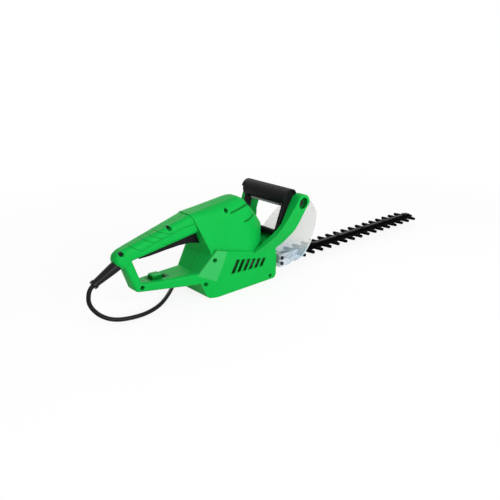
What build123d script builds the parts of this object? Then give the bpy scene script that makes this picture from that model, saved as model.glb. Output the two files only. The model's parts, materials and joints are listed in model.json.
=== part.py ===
"""Corded electric hedge trimmer with a closed rear grip, a front handle loop and a double-sided blade.

Millimetres. X runs forward along the blade, Y to the left, Z up from the surface it rests on.
The origin lies under the middle of the tool, without its cord.
"""
from build123d import *
import math
import os

# Overall
REAR_X = -397.0              # corner of the grip's rear outline, before it is rounded
BLADE_TIP_X = 388.0          # front end of the blades
WALL = 2.6                   # moulded wall of the housing
SEAT = 0.2                   # gap between pieces that are screwed together
RUN = 0.4                    # gap round pieces that slide or swing
SHAFT_FIT = 0.04             # radial gap of a shaft in its bearing
PRESS = 0.02                 # radial gap of a pressed seat

# Rear grip and lower bar: outlines in the side view, tapered to the rear in plan
HANDLE_FRONT_X = -235.0      # where grip and bar end inside the body
GRIP_REAR_HALF_W = 11.5      # at the rear corner
GRIP_FRONT_HALF_W = 20.5     # inside the body
GRIP_EDGE_R = 9.5            # rounding along the grip's edges
GRIP_TOP_FRONT_Z = 140.5
GRIP_SEAM = (-262.0, 138.0)
GRIP_REAR_TOP = (-380.0, 105.0)
GRIP_HEEL = (REAR_X, 93.0)
GRIP_REAR_LOW = (-376.0, 73.0)
GRIP_UNDER_REAR = (-363.0, 85.5)
GRIP_UNDER_FRONT_Z = 110.0
GRIP_CORNER_R = (60.0, 25.0, 12.0, 10.0, 12.0)   # seam, rear top, heel, rear low, under rear
BAR_REAR_HALF_W = 6.5        # at the grip's rear corner
BAR_FRONT_HALF_W = 31.5      # inside the body
BAR_EDGE_R = 4.5             # rounding along the lower bar's edges
BAR_REAR_TOP = (-381.0, 92.0)
POST_W = 16.0                # rear post, measured along X
BAR_TOP_REAR = (-350.0, 48.5)
BAR_TOP_FRONT_Z = 43.5
BAR_LOW_FRONT_Z = 23.0
BAR_HEEL = (-360.0, 36.0)
BAR_CORNER_R = (7.0, 9.0)    # window corner, heel

# Upper body, round the motor, as sections across it
UPPER_HALF_W = 39.5
UPPER_SECTIONS = [           # place, half width at the skirt, half width at the top, height, rounding
    (-266.0, 31.0, 19.0, 138.6, 11.0),
    (-235.0, 35.0, 22.0, 142.2, 15.0),
    (-203.0, UPPER_HALF_W, 25.0, 146.6, 20.0),
    (-178.0, UPPER_HALF_W, 26.0, 150.2, 21.5),
    (-168.0, UPPER_HALF_W, 26.2, 151.4, 22.5),
    (-161.0, UPPER_HALF_W, 26.2, 151.0, 23.0),
    (-153.0, 39.2, 26.0, 146.5, 22.5),
    (-139.0, 37.0, 24.0, 131.5, 20.0),
    (-123.0, 30.0, 19.0, 114.5, 15.0),
    (-108.0, 18.0, 11.0, 98.5, 8.5),
]
UPPER_CROWN_X = -165.0       # sections in front of it stand on the front slope
UPPER_REAR_TOP = (-264.0, 142.0)
UPPER_ROOF_Z = 170.0         # above every section
UPPER_BROW = (-109.5, 100.0)
UPPER_BROW_R = 8.0
UPPER_CHIN = (-119.0, 76.0)
UPPER_NOTCH = (-236.0, 78.0)
UPPER_SKIRT_Z = 50.0         # its hidden lower edge, inside the lower body

# Lower body, round the gear
LOWER_HALF_W = 41.5
LOWER_REAR_HALF_W = 27.0     # where the side facet meets the rear wall
FACET_X = -221.0             # front end of the side facet
LOWER_EDGE_R = 3.5
LOWER_CREST_REAR = (-229.0, 80.0)
LOWER_HIP = (-259.0, 41.0)
BELLY_REAR_X = -243.0
BELLY_FRONT_X = -99.0
NOSE_X = -93.0
NOSE_Z = (13.0, 34.0)        # straight part of the nose
NOSE_CORNER_R = 8.5
CREST_FRONT = (-100.0, 60.0)
CREST_MID = (-150.0, 61.0)
LOWER_CORNER_R = (2.0, 10.0, 8.0, 8.0, 14.0, 14.0, 6.0, 40.0)
FACET_R = 20.0
REAR_CORNER_R = 2.0

# Tongue of the nose that the hand guard is screwed to
TONGUE_X = -83.0
TONGUE_HALF_W = 30.0
TONGUE_Z = (23.5, 42.0)

# Vent slots in both sides of the lower body
VENT_COUNT = 6
VENT_PITCH = 12.6
VENT_WIDTH = 6.4
VENT_LEAN = 0.55             # forward run per unit of height
VENT_FIRST_X = -201.0        # foot of the rear slot
VENT_FOOT_Z = (35.0, 32.0)   # first and last slot
VENT_TOP_Z = (55.0, 44.0)

# Screws that close the housing, at these places of its right side
CASE_SCREWS = [(-380.5, 100.8), (-300.5, 124.0), (-351.0, 42.4), (-232.0, 63.8), (-246.0, 25.0),
               (-112.0, 7.8), (-97.0, 46.0), (-200.0, 136.0)]
SCREW_HEAD_R = 3.4
SCREW_HEAD_H = 2.4
SCREW_SHANK_R = 1.7
SCREW_FLOOR = 5.0            # depth of the head's seat from the parting plane
SCREW_THREAD = 7.0           # thread length in the left half
BOSS_R = 4.2

# Arms that carry the front handle: side outline and spread
ARM_TOP = (-62.0, 134.0)
ARM_TOP_R = 15.0
ARM_TOP_Y = 66.0
ARM_T = 16.0                 # thickness at the top
ARM_UPPER_EDGE = [(-154.0, 59.0), (-136.0, 68.0), (-112.0, 83.5), (-95.0, 107.0)]
ARM_LOWER_EDGE = [(-54.0, 119.0), (-66.0, 88.0), (-84.0, 68.0), (-104.0, 56.0)]
ARM_SPREAD = [(41.5, 50.0), (44.0, 60.0), (54.0, 85.0), (62.0, 114.0)]
ARM_INSIDE = [(50.0, 101.0), (39.0, 74.0), (36.0, 50.0)]
ARM_RECESS_R = 10.0
ARM_RECESS_DEPTH = 8.0

# Front handle loop
LOOP_GRIP = (-81.0, 144.0)   # axis of the top grip
LOOP_GRIP_R = 15.0
LOOP_HALF_W = ARM_TOP_Y - ARM_T - SEAT
LOOP_FOOT = (-100.0, 83.0)   # middle of the loop's lower bar
LOOP_FOOT_HALF_W = 46.0
LOOP_WINDOW_HALF_W = 42.0
LOOP_WINDOW_FOOT_HALF_W = 40.0
LOOP_BAR_H = 9.0
LOOP_DEPTH = 15.0
LOOP_EDGE_R = 2.5
HOOD_OVERHANG = 3.5
HOOD_T = 2.5
HOOD_ARC = (25.0, 165.0)     # degrees round the grip's axis
LUG_R = 9.5
LUG_T = 11.0
LUG_SCREW_R = 2.4
LUG_HEAD_R = 5.0
LUG_HEAD_H = 3.0

# Switch bar under the front grip
SWITCH_BAR_HALF_L = 34.0
SWITCH_BAR_HALF_W = 4.5
SWITCH_BAR_H = 9.0
SWITCH_BAR_PROUD = 2.5
SWITCH_BAR_TRAVEL = 4.0
SWITCH_HALF_L = 10.0
SWITCH_H = 9.0
BAR_SPRING_R = 2.5
BAR_SPRING_Y = 24.0

# Clear hand guard
GUARD_T = 2.6
GUARD_LEAN = 0.8             # forward run per unit of height
GUARD_FOOT = (-59.0, 24.0)   # middle of its lower edge
GUARD_SIDE = [(46.0, 24.0), (57.5, 33.0), (60.5, 52.0), (56.0, 78.0), (43.0, 99.0), (20.0, 114.0)]
GUARD_TOP_Z = 119.0
EAR_HALF_W = 44.6
EAR_T = 2.6
EAR_TOP_Z = 42.0
EAR_FOOT_Z = 19.5
GUARD_SCREW_Z = (25.8, 36.0)
GUARD_SCREW_R = 1.6
GUARD_HEAD_R = 3.2
GUARD_HEAD_H = 2.2
GUARD_SCREW_GRIP = 10.0      # length in the tongue

# Blades, guide bar and their bolts
BLADE_Z = 16.5               # plane where the two blades slide on each other
BLADE_T = 2.2
BLADE_GAP = 0.2              # each blade's gap to that plane and to what backs it
BLADE_STRIP_HALF_W = 10.5
BLADE_STROKE = 5.0           # each way from the middle
TOOTH_TIP_Y = 27.4
TOOTH_PITCH = 25.0
TOOTH_COUNT = 16
TOOTH_FIRST_X = -6.0
TOOTH_ROOT_W = 10.0
TOOTH_TIP_W = 4.6
GUIDE_T = 3.0
GUIDE_HALF_W = 6.5
GUIDE_TIP_X = 381.0
RIDGE_HALF_W = 1.6
RIDGE_H = 1.2
BOLT_XS = (44.0, 124.0, 204.0, 284.0, 364.0)
BOLT_R = 2.5
BOLT_HEAD_R = 5.0
BOLT_HEAD_H = 2.6
NUT_R = 4.4
NUT_H = 2.6
SPACER_R = 3.3

# Gear and crank
CRANK_X = -132.0
MODULE = 1.1
PINION_TEETH = 12
GEAR_TEETH = 48
GEAR_Z = (26.0, 34.0)
PINION_Z = (25.0, 35.0)
ADDENDUM = 0.85              # in modules
DEDENDUM = 1.15
BACKLASH = 0.16
PRESSURE_ANGLE = math.radians(20)
SPINDLE_R = 4.0
SPINDLE_Z = (3.0, 44.0)
HUB_R = 9.0
ECCENTRIC_R = 10.0
ECCENTRIC_THROW = 5.0
ECCENTRIC_T = 3.6
TAIL_HALF_X = 24.0
CASE_ROOM = 0.4              # gap between the gear's mountings and the housing's wall
TAIL_HALF_Y = LOWER_HALF_W - WALL - CASE_ROOM
CASE_R = 33.0                # gear case round the crank gear
CASE_T = 2.5
CASE_TOP_Z = 41.0
CASE_SCREW_R = 2.0
CASE_POST_R = 3.8
CASE_SCREW_XY = (8.0, TAIL_HALF_Y - CASE_POST_R - 1.0)   # from the crank's axis
BASE_T = 2.5
BASE_HALF_Y = TAIL_HALF_Y - 1.0
BUSH_R = 7.0
BUSH_TOP_Z = 9.5
SPINDLE_BEARING = (11.0, 7.0)    # outer radius, width
SHAFT_BEARING = (9.5, 6.0)
CENTRE_DISTANCE = MODULE * (PINION_TEETH + GEAR_TEETH) / 2

# Motor
MOTOR_X = CRANK_X - CENTRE_DISTANCE
SHAFT_R = 3.0
SHAFT_TOP_Z = 141.0
STATOR_R = 31.0
STATOR_HALF_X = 29.0
STATOR_HALF_Y = 26.8          # flats beside the shell
STATOR_BORE_R = 19.2
STATOR_Z = (68.0, 110.0)
ARMATURE_R = 18.6
ARMATURE_SLOTS = 12
WINDING_EDGE = 2.5
COIL_REACH = 7.0             # coil heads past the stator
COMMUTATOR_R = 11.0
COMMUTATOR_Z = (118.5, 129.0)
COMMUTATOR_BARS = 12
FAN_R = 29.0
FAN_Z = (48.5, 58.0)
FAN_BLADES = 9
UPPER_BEARING_Z = 133.0
LOWER_BEARING_Z = 38.0
BRACKET_R = 28.0
BRACKET_RIM = 8.0
BRACKET_ARM_Y = 23.0
BEARING_WALL = 2.2
BRACKET_ARM_W = 14.0
BRUSH = (6.0, 8.0)           # width across, height
BRUSH_HOLDER_T = 1.5
BRUSH_REACH = 24.0
BRUSH_POST = (18.0, 22.5)    # from the shaft's axis
RIB_ZS = (74.0, 102.0)
RIB_T = 2.4

# Trigger and rear switch
TRIGGER_PIVOT = (-346.0, 98.0)
TRIGGER_HALF_W = 8.5
TRIGGER_EYE_R = 6.0
TRIGGER_PIN_R = 2.0
PIN_BOSS_T = 2.5
TRIGGER_ANGLE = 5.0          # degrees of squeeze
TRIGGER_UNDER = [(-350.0, 86.2), (-332.0, 86.8), (-305.0, 89.5), (-278.0, 91.5), (-258.0, 90.8), (-244.0, 88.0)]
TRIGGER_OVER = [(-235.0, 85.0), (-233.5, 88.0), (-237.0, 97.0), (-245.0, 104.5), (-300.0, 104.5)]
TRIGGER_EDGE_R = 1.5
PLUNGER_X = -315.0
PLUNGER_R = 2.4
PLUNGER_H = 7.0
REAR_SWITCH_L = 28.0
REAR_SWITCH_W = 14.0
REAR_SWITCH_H = 7.4

# Lock button on the lower bar
LOCK_X = -320.0
LOCK_HALF_L = 8.5
LOCK_HALF_W = 6.5
LOCK_RISE = 6.5
LOCK_FLANGE_HALF_L = 12.0
LOCK_FLANGE_HALF_W = 9.5
LOCK_FLANGE_T = 2.0
LOCK_TRAVEL = 8.0
LOCK_RAIL_H = 9.0
LOCK_SLACK = 2.0             # slot left open behind the button at rest

# Cord, its boot and its plug
BOOT_EXIT = (-385.6, 81.5)   # where the boot's axis leaves the housing
BOOT_SLOPE = 28.0            # degrees below the horizontal, towards the rear
BOOT_L = 42.0
BOOT_ROOT_R = 8.2
BOOT_TIP_R = 5.6
BOOT_COLLAR_R = 6.8
BOOT_COLLAR_L = 5.0
BOOT_FLANGE_R = 9.0
BOOT_FLANGE_Z = (-11.0, -7.0)   # along the boot, from its exit
BOOT_STRAIGHT_L = 4.0
BOOT_TAIL_L = 24.0
CORD_R = 3.25
CORD_SOCKET = 6.0            # depth of the cord in the boot's end and in the plug
CORD_FLOOR_Z = 3.5
PLUG_AT = (-128.0, 84.0, 13.5)   # middle of the plug's cord end
PLUG_L = 36.0
PLUG_HALF_W = 17.5
PLUG_HALF_H = 13.0
PLUG_EDGE = 2.5
PLUG_NECK_L = 12.0
PLUG_NECK_R = 6.5
PIN_R = 2.4
PIN_L = 19.0
PIN_SPACING = 19.0
CORD_ROUTE = [(-430.5, 0.0, 50.2), (-431.5, -0.5, 37.3), (-426.0, -2.5, 25.0), (-415.5, -6.0, 13.4),
              (-399.5, -11.5, 5.0), (-378.5, -18.5, CORD_FLOOR_Z), (-351.5, -21.0, CORD_FLOOR_Z),
              (-322.5, -11.5, CORD_FLOOR_Z), (-297.0, 6.0, CORD_FLOOR_Z), (-272.0, 27.5, CORD_FLOOR_Z),
              (-247.0, 51.5, CORD_FLOOR_Z), (-220.0, 70.0, CORD_FLOOR_Z), (-192.0, 80.0, 4.5),
              (-168.0, 83.5, 8.5), (-149.0, 84.0, PLUG_AT[2])]


def rounded(points, radii):
    """Closed outline with its corners rounded."""
    return make_face(FilletPolyline(*points, radius=radii, close=True))


def outline(points):
    """Closed outline with sharp corners."""
    return make_face(Polyline(*points, close=True))


def across(face, y_low, y_high):
    """Side outline in X and Z, drawn out across Y."""
    return Pos(0, y_high, 0) * extrude(Plane.XZ * face, y_high - y_low)


def upright(face, z_low, z_high):
    """Plan outline in X and Y, drawn up from one height to another."""
    return Pos(0, 0, z_low) * extrude(face, z_high - z_low)


def rod_y(centre, radius, y_low, y_high):
    """Cylinder along Y round a point of the side view."""
    return across(Pos(*centre) * Circle(radius), y_low, y_high)


def rod_z(x, y, radius, z_low, z_high):
    """Cylinder along Z."""
    return upright(Pos(x, y) * Circle(radius), z_low, z_high)


def block(x, y, z):
    """Box from three (low, high) pairs."""
    size = [high - low for low, high in (x, y, z)]
    return Pos(*[(low + high) / 2 for low, high in (x, y, z)]) * Box(*size)


def ring_z(x, radius, bore, z_low, z_high):
    """Ring along Z on the middle plane."""
    return rod_z(x, 0, radius, z_low, z_high) - rod_z(x, 0, bore, z_low, z_high)


def other_side(part):
    """The same piece on the tool's left."""
    return mirror(part, about=Plane.XZ)


def both_sides(part):
    """A right-hand piece and its twin, as two solids."""
    return Compound([*part.solids(), *other_side(part).solids()])


# Housing


def side_form(points, radii, rear, front, edge_r, inset, rounds):
    """Side outline across the tool, tapered in plan from (x, half width) at the rear to that at the front.

    Its edges are rounded; an inset gives the hollow inside it.
    """
    face = rounded(points, radii)
    plan = outline([(rear[0], -rear[1]), (front[0], -front[1]), front, rear])
    if inset:
        face = offset(face, -inset)
        plan = offset(plan, -inset)
    widest = max(rear[1], front[1])
    low = min(z for x, z in points) - 1
    high = max(z for x, z in points) + 1
    solid = across(face, -widest, widest) & upright(plan, low, high)
    sides = [f for f in solid.faces() if abs(f.normal_at().Y) > 0.9]
    edges = [e for f in sides for e in f.edges() if rounds(e.center())]
    return fillet(edges, edge_r - inset)


def grip_form(inset):
    points = [(HANDLE_FRONT_X, GRIP_TOP_FRONT_Z), GRIP_SEAM, GRIP_REAR_TOP, GRIP_HEEL,
              GRIP_REAR_LOW, GRIP_UNDER_REAR, (HANDLE_FRONT_X, GRIP_UNDER_FRONT_Z)]
    return side_form(points, [0, *GRIP_CORNER_R, 0], (REAR_X, GRIP_REAR_HALF_W), (HANDLE_FRONT_X, GRIP_FRONT_HALF_W),
                     GRIP_EDGE_R, inset, lambda c: c.X < HANDLE_FRONT_X - WALL - 1)


def grip_half_w(x):
    """Half width of the grip at a place along it."""
    share = (x - REAR_X) / (HANDLE_FRONT_X - REAR_X)
    return GRIP_REAR_HALF_W + share * (GRIP_FRONT_HALF_W - GRIP_REAR_HALF_W)


def bar_form(inset):
    post_top = (BAR_REAR_TOP[0] + POST_W, BAR_REAR_TOP[1])
    points = [BAR_REAR_TOP, post_top, BAR_TOP_REAR, (HANDLE_FRONT_X, BAR_TOP_FRONT_Z),
              (HANDLE_FRONT_X, BAR_LOW_FRONT_Z), BAR_HEEL]
    window_r, heel_r = BAR_CORNER_R
    return side_form(points, [0, 0, window_r, 0, 0, heel_r],
                     (REAR_X, BAR_REAR_HALF_W), (HANDLE_FRONT_X, BAR_FRONT_HALF_W), BAR_EDGE_R, inset,
                     lambda c: c.X < HANDLE_FRONT_X - WALL - 1 and c.Z < BAR_REAR_TOP[1] - WALL - 1)


def upper_section(place, skirt, top, height, rounding, inset):
    """One section of the upper body: leaning sides and a rounded roof."""
    if place > UPPER_CROWN_X:
        place -= 0.4 * inset
    low = UPPER_SKIRT_Z + inset
    points = [(inset - skirt, low), (skirt - inset, low), (top - inset, height - inset), (inset - top, height - inset)]
    section = rounded(points, [0, 0, rounding - inset, rounding - inset])
    return Plane((place, 0, 0), x_dir=(0, 1, 0), z_dir=(1, 0, 0)) * section


def upper_form(inset):
    """Loft round the motor, cut to a raked rear edge and a tucked chin."""
    body = loft([upper_section(*section, inset) for section in UPPER_SECTIONS], ruled=True)
    points = [UPPER_REAR_TOP, (UPPER_REAR_TOP[0], UPPER_ROOF_Z), (UPPER_BROW[0], UPPER_ROOF_Z), UPPER_BROW, UPPER_CHIN,
              (UPPER_CHIN[0], UPPER_SKIRT_Z - 2 * WALL), (UPPER_NOTCH[0], UPPER_SKIRT_Z - 2 * WALL), UPPER_NOTCH]
    side = rounded(points, [0, 0, 0, UPPER_BROW_R, 0, 0, 0, 0])
    if inset:
        side = offset(side, -inset)
    return body & across(side, -UPPER_HALF_W, UPPER_HALF_W)


def lower_form(inset):
    points = [LOWER_CREST_REAR, LOWER_HIP, (BELLY_REAR_X, 0), (BELLY_FRONT_X, 0), (NOSE_X, NOSE_Z[0]),
              (NOSE_X, NOSE_Z[1]), CREST_FRONT, CREST_MID]
    rear_x = LOWER_HIP[0]
    side = side_form(points, LOWER_CORNER_R, (rear_x - 1, LOWER_HALF_W), (NOSE_X + 1, LOWER_HALF_W), LOWER_EDGE_R, inset,
                     lambda c: True)
    plan = rounded([(rear_x, -LOWER_REAR_HALF_W), (FACET_X, -LOWER_HALF_W), (NOSE_X, -LOWER_HALF_W),
                    (NOSE_X, LOWER_HALF_W), (FACET_X, LOWER_HALF_W), (rear_x, LOWER_REAR_HALF_W)],
                   [REAR_CORNER_R, FACET_R, NOSE_CORNER_R, NOSE_CORNER_R, FACET_R, REAR_CORNER_R])
    return side & upright(offset(plan, -inset) if inset else plan, -1, LOWER_CREST_REAR[1] + 1)


def shell_form(inset):
    """Both halves together: their outside, or with an inset the hollow inside them."""
    return grip_form(inset) + bar_form(inset) + upper_form(inset) + lower_form(inset)


def arm_form():
    """Right-hand arm: a swept side outline, cut to its spread in the front view."""
    tip_x, tip_z = ARM_TOP
    rear_of_top = (tip_x - ARM_TOP_R * 0.93, tip_z + ARM_TOP_R * 0.37)
    front_of_top = (tip_x + ARM_TOP_R * 0.97, tip_z - ARM_TOP_R * 0.24)
    edges = [Spline(*ARM_UPPER_EDGE, rear_of_top),
             ThreePointArc(rear_of_top, (tip_x + ARM_TOP_R * 0.6, tip_z + ARM_TOP_R * 0.8), front_of_top),
             Spline(front_of_top, *ARM_LOWER_EDGE),
             Line(ARM_LOWER_EDGE[-1], ARM_UPPER_EDGE[0])]
    side = across(make_face(edges), -ARM_TOP_Y - 5, 0)
    top_z = tip_z + ARM_TOP_R + 5
    front = [*ARM_SPREAD, (ARM_TOP_Y, tip_z), (ARM_TOP_Y, top_z), (ARM_TOP_Y - ARM_T, top_z), *ARM_INSIDE]
    spread = extrude(Plane.YZ * outline([(-y, z) for y, z in front]), 100, both=True)
    return side & Pos(ARM_TOP[0] - 40, 0, 0) * spread


def tongue_form():
    """Block in front of the nose, between the guard's ears."""
    return block((NOSE_X - WALL, TONGUE_X), (-TONGUE_HALF_W, TONGUE_HALF_W), TONGUE_Z)


def vent_slots():
    """Leaning slots through both sides of the lower body."""
    slots = []
    for i in range(VENT_COUNT):
        share = i / (VENT_COUNT - 1)
        foot_z = VENT_FOOT_Z[0] + share * (VENT_FOOT_Z[1] - VENT_FOOT_Z[0])
        top_z = VENT_TOP_Z[0] + share * (VENT_TOP_Z[1] - VENT_TOP_Z[0])
        foot_x = VENT_FIRST_X + i * VENT_PITCH
        top_x = foot_x + VENT_LEAN * (top_z - foot_z)
        slot = outline([(foot_x, foot_z), (foot_x + VENT_WIDTH, foot_z), (top_x + VENT_WIDTH, top_z), (top_x, top_z)])
        slots.append(across(slot, -LOWER_HALF_W - 1, WALL - LOWER_HALF_W + 1))
    right = Part() + slots
    return right + other_side(right)


def screw_bosses(inside, side):
    """Posts round the case screws, from the wall of one half to the parting plane."""
    y = sorted((0, side * LOWER_HALF_W))
    posts = [rod_y(at, BOSS_R, *y) for at in CASE_SCREWS]
    return (Part() + posts) & inside


def screw_seats():
    """Head recess and clear hole in the right half."""
    cuts = []
    for at in CASE_SCREWS:
        cuts.append(rod_y(at, SCREW_HEAD_R + SEAT, -LOWER_HALF_W - 1, -SCREW_FLOOR))
        cuts.append(rod_y(at, SCREW_SHANK_R + SEAT, -SCREW_FLOOR - 1, 1))
    return Part() + cuts


def screw_pilots():
    """Thread holes in the left half."""
    return Part() + [rod_y(at, SCREW_SHANK_R + PRESS, -1, SCREW_THREAD + SEAT) for at in CASE_SCREWS]


def housing_screws():
    screws = []
    for at in CASE_SCREWS:
        head = rod_y(at, SCREW_HEAD_R, -SCREW_FLOOR - SCREW_HEAD_H, -SCREW_FLOOR)
        screws.append(head + rod_y(at, SCREW_SHANK_R, -SCREW_FLOOR, SCREW_THREAD))
    return Compound([s.solid() for s in screws])


def motor_ribs(inside):
    """Walls round the stator, moulded into both halves."""
    walls = []
    for z in RIB_ZS:
        plate = block((UPPER_NOTCH[0], UPPER_BROW[0]), (-UPPER_HALF_W, UPPER_HALF_W), (z, z + RIB_T))
        walls.append(plate & inside)
    seat = stator_outline(SEAT)
    return (Part() + walls) - upright(seat, RIB_ZS[0] - 1, RIB_ZS[-1] + RIB_T + 1)


def trigger_slot():
    """Room for the trigger in the grip's underside and the body's rear wall, over its whole swing."""
    room = offset(trigger_outline(), RUN)
    swung = trigger_turn(TRIGGER_ANGLE) * across(room, -TRIGGER_HALF_W - RUN, TRIGGER_HALF_W + RUN)
    return across(room, -TRIGGER_HALF_W - RUN, TRIGGER_HALF_W + RUN) + swung


def pin_bosses(inside, side):
    """Posts that carry the trigger's pin."""
    y = sorted((side * (TRIGGER_HALF_W + RUN + SEAT), side * GRIP_FRONT_HALF_W))
    return rod_y(TRIGGER_PIVOT, TRIGGER_PIN_R + PIN_BOSS_T, *y) & inside


def lock_place():
    """Frame on the lower bar's top, with X along the bar."""
    slope = math.degrees(math.atan2(BAR_TOP_REAR[1] - BAR_TOP_FRONT_Z, HANDLE_FRONT_X - BAR_TOP_REAR[0]))
    z = BAR_TOP_REAR[1] - (LOCK_X - BAR_TOP_REAR[0]) * math.tan(math.radians(slope))
    return Pos(LOCK_X, 0, z) * Rot(0, slope, 0)


def lock_slot():
    x = (-LOCK_HALF_L - LOCK_SLACK, LOCK_HALF_L + LOCK_TRAVEL + RUN)
    y = (-LOCK_HALF_W - RUN, LOCK_HALF_W + RUN)
    return lock_place() * block(x, y, (-WALL - 1, WALL))


def lock_rails(side):
    """Ribs under the lock button's flange."""
    y = sorted((side * (LOCK_FLANGE_HALF_W - 3), side * LOCK_FLANGE_HALF_W))
    x = (-LOCK_FLANGE_HALF_L - LOCK_SLACK, LOCK_FLANGE_HALF_L + LOCK_TRAVEL)
    top = -WALL - 2 * SEAT - LOCK_FLANGE_T
    return lock_place() * block(x, y, (top - SEAT - LOCK_RAIL_H, top - SEAT))


def boot_place():
    """Frame on the boot's axis at the housing's wall, with Z along the cord's way out."""
    return Pos(BOOT_EXIT[0], 0, BOOT_EXIT[1]) * Rot(0, -90 - BOOT_SLOPE, 0)


def boot_room():
    """Hole for the boot in the grip's heel, with a groove for its flange."""
    low, high = BOOT_FLANGE_Z
    groove = Pos(0, 0, (low + high) / 2) * Cylinder(BOOT_FLANGE_R + SEAT, high - low + 2 * SEAT)
    return boot_place() * (Cylinder(BOOT_ROOT_R + SEAT, 2 * (BOOT_TAIL_L + SEAT)) + groove)


def blade_mouth():
    """Opening in the nose for the blades and the guide bar."""
    half_w = BLADE_STRIP_HALF_W + 2.5
    z = (BLADE_Z - BLADE_T - 6, TONGUE_Z[0])
    return block((NOSE_X - 12, TONGUE_X + 1), (-half_w, half_w), z)


def housing_half(side, outside, inside):
    """One half of the clamshell; side is -1 on the right and 1 on the left."""
    y = sorted((0, side * 100))
    keep = block((REAR_X - 10, BLADE_TIP_X), y, (-10, 200))
    arm = arm_form() if side < 0 else other_side(arm_form())
    half = ((outside - inside) + tongue_form() + motor_ribs(inside)) & keep
    half += screw_bosses(inside, side) + pin_bosses(inside, side) + (lock_rails(side) & inside)
    half += arm - inside
    holes = screw_seats() if side < 0 else screw_pilots()
    pin = rod_y(TRIGGER_PIVOT, TRIGGER_PIN_R + PRESS, -pin_reach() - SEAT, pin_reach() + SEAT)
    cuts = [holes, pin, boot_room(), vent_slots(), trigger_slot(), lock_slot(), blade_mouth(), loop_room(),
            arm_holes(), guard_pilots()]
    for cut in cuts:
        half -= cut
    return half


# Front handle


def loop_plane():
    """Frame of the loop at the middle of its lower bar: X across the tool, Y up along the legs."""
    rise = (LOOP_GRIP[0] - LOOP_FOOT[0], LOOP_GRIP[1] - LOOP_FOOT[1])
    return Plane((LOOP_FOOT[0], 0, LOOP_FOOT[1]), x_dir=(0, 1, 0), z_dir=(rise[1], 0, -rise[0]))


LOOP_RISE = math.hypot(LOOP_GRIP[0] - LOOP_FOOT[0], LOOP_GRIP[1] - LOOP_FOOT[1])


def loop_frame(grow):
    """Legs and lower bar of the loop, as a leaning frame."""
    foot = LOOP_FOOT_HALF_W + grow
    top = LOOP_HALF_W + grow
    low = -LOOP_BAR_H / 2 - grow
    window_low = LOOP_BAR_H / 2
    window_top = LOOP_RISE - LOOP_GRIP_R + 4
    outer = rounded([(-foot, low), (foot, low), (top, LOOP_RISE), (-top, LOOP_RISE)], [8, 8, 0, 0])
    inner = rounded([(-LOOP_WINDOW_FOOT_HALF_W, window_low), (LOOP_WINDOW_FOOT_HALF_W, window_low),
                     (LOOP_WINDOW_HALF_W, window_top), (-LOOP_WINDOW_HALF_W, window_top)], [3, 3, 3, 3])
    face = outer if grow else outer - inner
    frame = extrude(loop_plane() * face, LOOP_DEPTH / 2 + grow, both=True)
    if grow:
        return frame
    normal = loop_plane().z_dir
    long_edges = [e for f in frame.faces() if abs(f.normal_at().dot(normal)) > 0.99 for e in f.edges()]
    return fillet([e for e in long_edges if abs(e.center().Z - LOOP_GRIP[1]) > 2], LOOP_EDGE_R)


def lug_form(grow):
    """Ends of the grip, drawn forward round the arm's screw."""
    web = make_hull([*(Pos(*LOOP_GRIP) * Circle(LOOP_GRIP_R - 1)).edges(), *(Pos(*ARM_TOP) * Circle(LUG_R)).edges()])
    lug = across(web, -LOOP_HALF_W - grow, LUG_T - LOOP_HALF_W)
    return lug + other_side(lug)


def hood_form():
    """Upper half of the grip's skin, drawn out over the arms' tops."""
    start, end = HOOD_ARC
    skin = Pos(*LOOP_GRIP) * (Circle(LOOP_GRIP_R) - Circle(LOOP_GRIP_R - HOOD_T))
    wedge = [LOOP_GRIP]
    for i in range(5):
        angle = math.radians(start + i * (end - start) / 4)
        wedge.append((LOOP_GRIP[0] + 40 * math.cos(angle), LOOP_GRIP[1] + 40 * math.sin(angle)))
    lip = across(skin & outline(wedge), -LOOP_HALF_W - HOOD_OVERHANG, 1 - LOOP_HALF_W)
    return lip + other_side(lip)


def front_handle():
    grip = rod_y(LOOP_GRIP, LOOP_GRIP_R, -LOOP_HALF_W, LOOP_HALF_W)
    return loop_frame(0) + grip + lug_form(0) + hood_form() - bar_room() - switch_room() - lug_holes()


def loop_room():
    """Space that the loop takes out of the housing."""
    grip = rod_y(LOOP_GRIP, LOOP_GRIP_R + SEAT, -LOOP_HALF_W - SEAT, LOOP_HALF_W + SEAT)
    return loop_frame(SEAT) + grip + lug_form(SEAT)


def bar_block(half_l, half_w, low, high):
    """Block in the grip, by its distances from the lower bar along the legs."""
    middle = Pos(0, (low + high) / 2, 0)
    return loop_plane() * middle * Box(2 * half_l, high - low, 2 * half_w)


BAR_LOW = LOOP_RISE - LOOP_GRIP_R - SWITCH_BAR_PROUD
BAR_HIGH = BAR_LOW + SWITCH_BAR_H
BAR_ROOF = BAR_HIGH + SWITCH_BAR_TRAVEL + 2 * RUN


def bar_room():
    return bar_block(SWITCH_BAR_HALF_L + RUN, SWITCH_BAR_HALF_W + RUN, BAR_LOW, BAR_ROOF)


def switch_room():
    return bar_block(SWITCH_HALF_L + SEAT, SWITCH_BAR_HALF_W + SEAT, BAR_ROOF - 1, BAR_ROOF + SWITCH_H + SEAT)


def front_switch_bar():
    bar = bar_block(SWITCH_BAR_HALF_L, SWITCH_BAR_HALF_W, BAR_LOW, BAR_HIGH)
    normal = loop_plane().z_dir
    ends = [e for e in bar.edges() if abs(e.tangent_at(0.5).dot(normal)) > 0.99]
    return fillet(ends, 2)


def front_switch():
    return bar_block(SWITCH_HALF_L, SWITCH_BAR_HALF_W, BAR_ROOF, BAR_ROOF + SWITCH_H)


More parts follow.
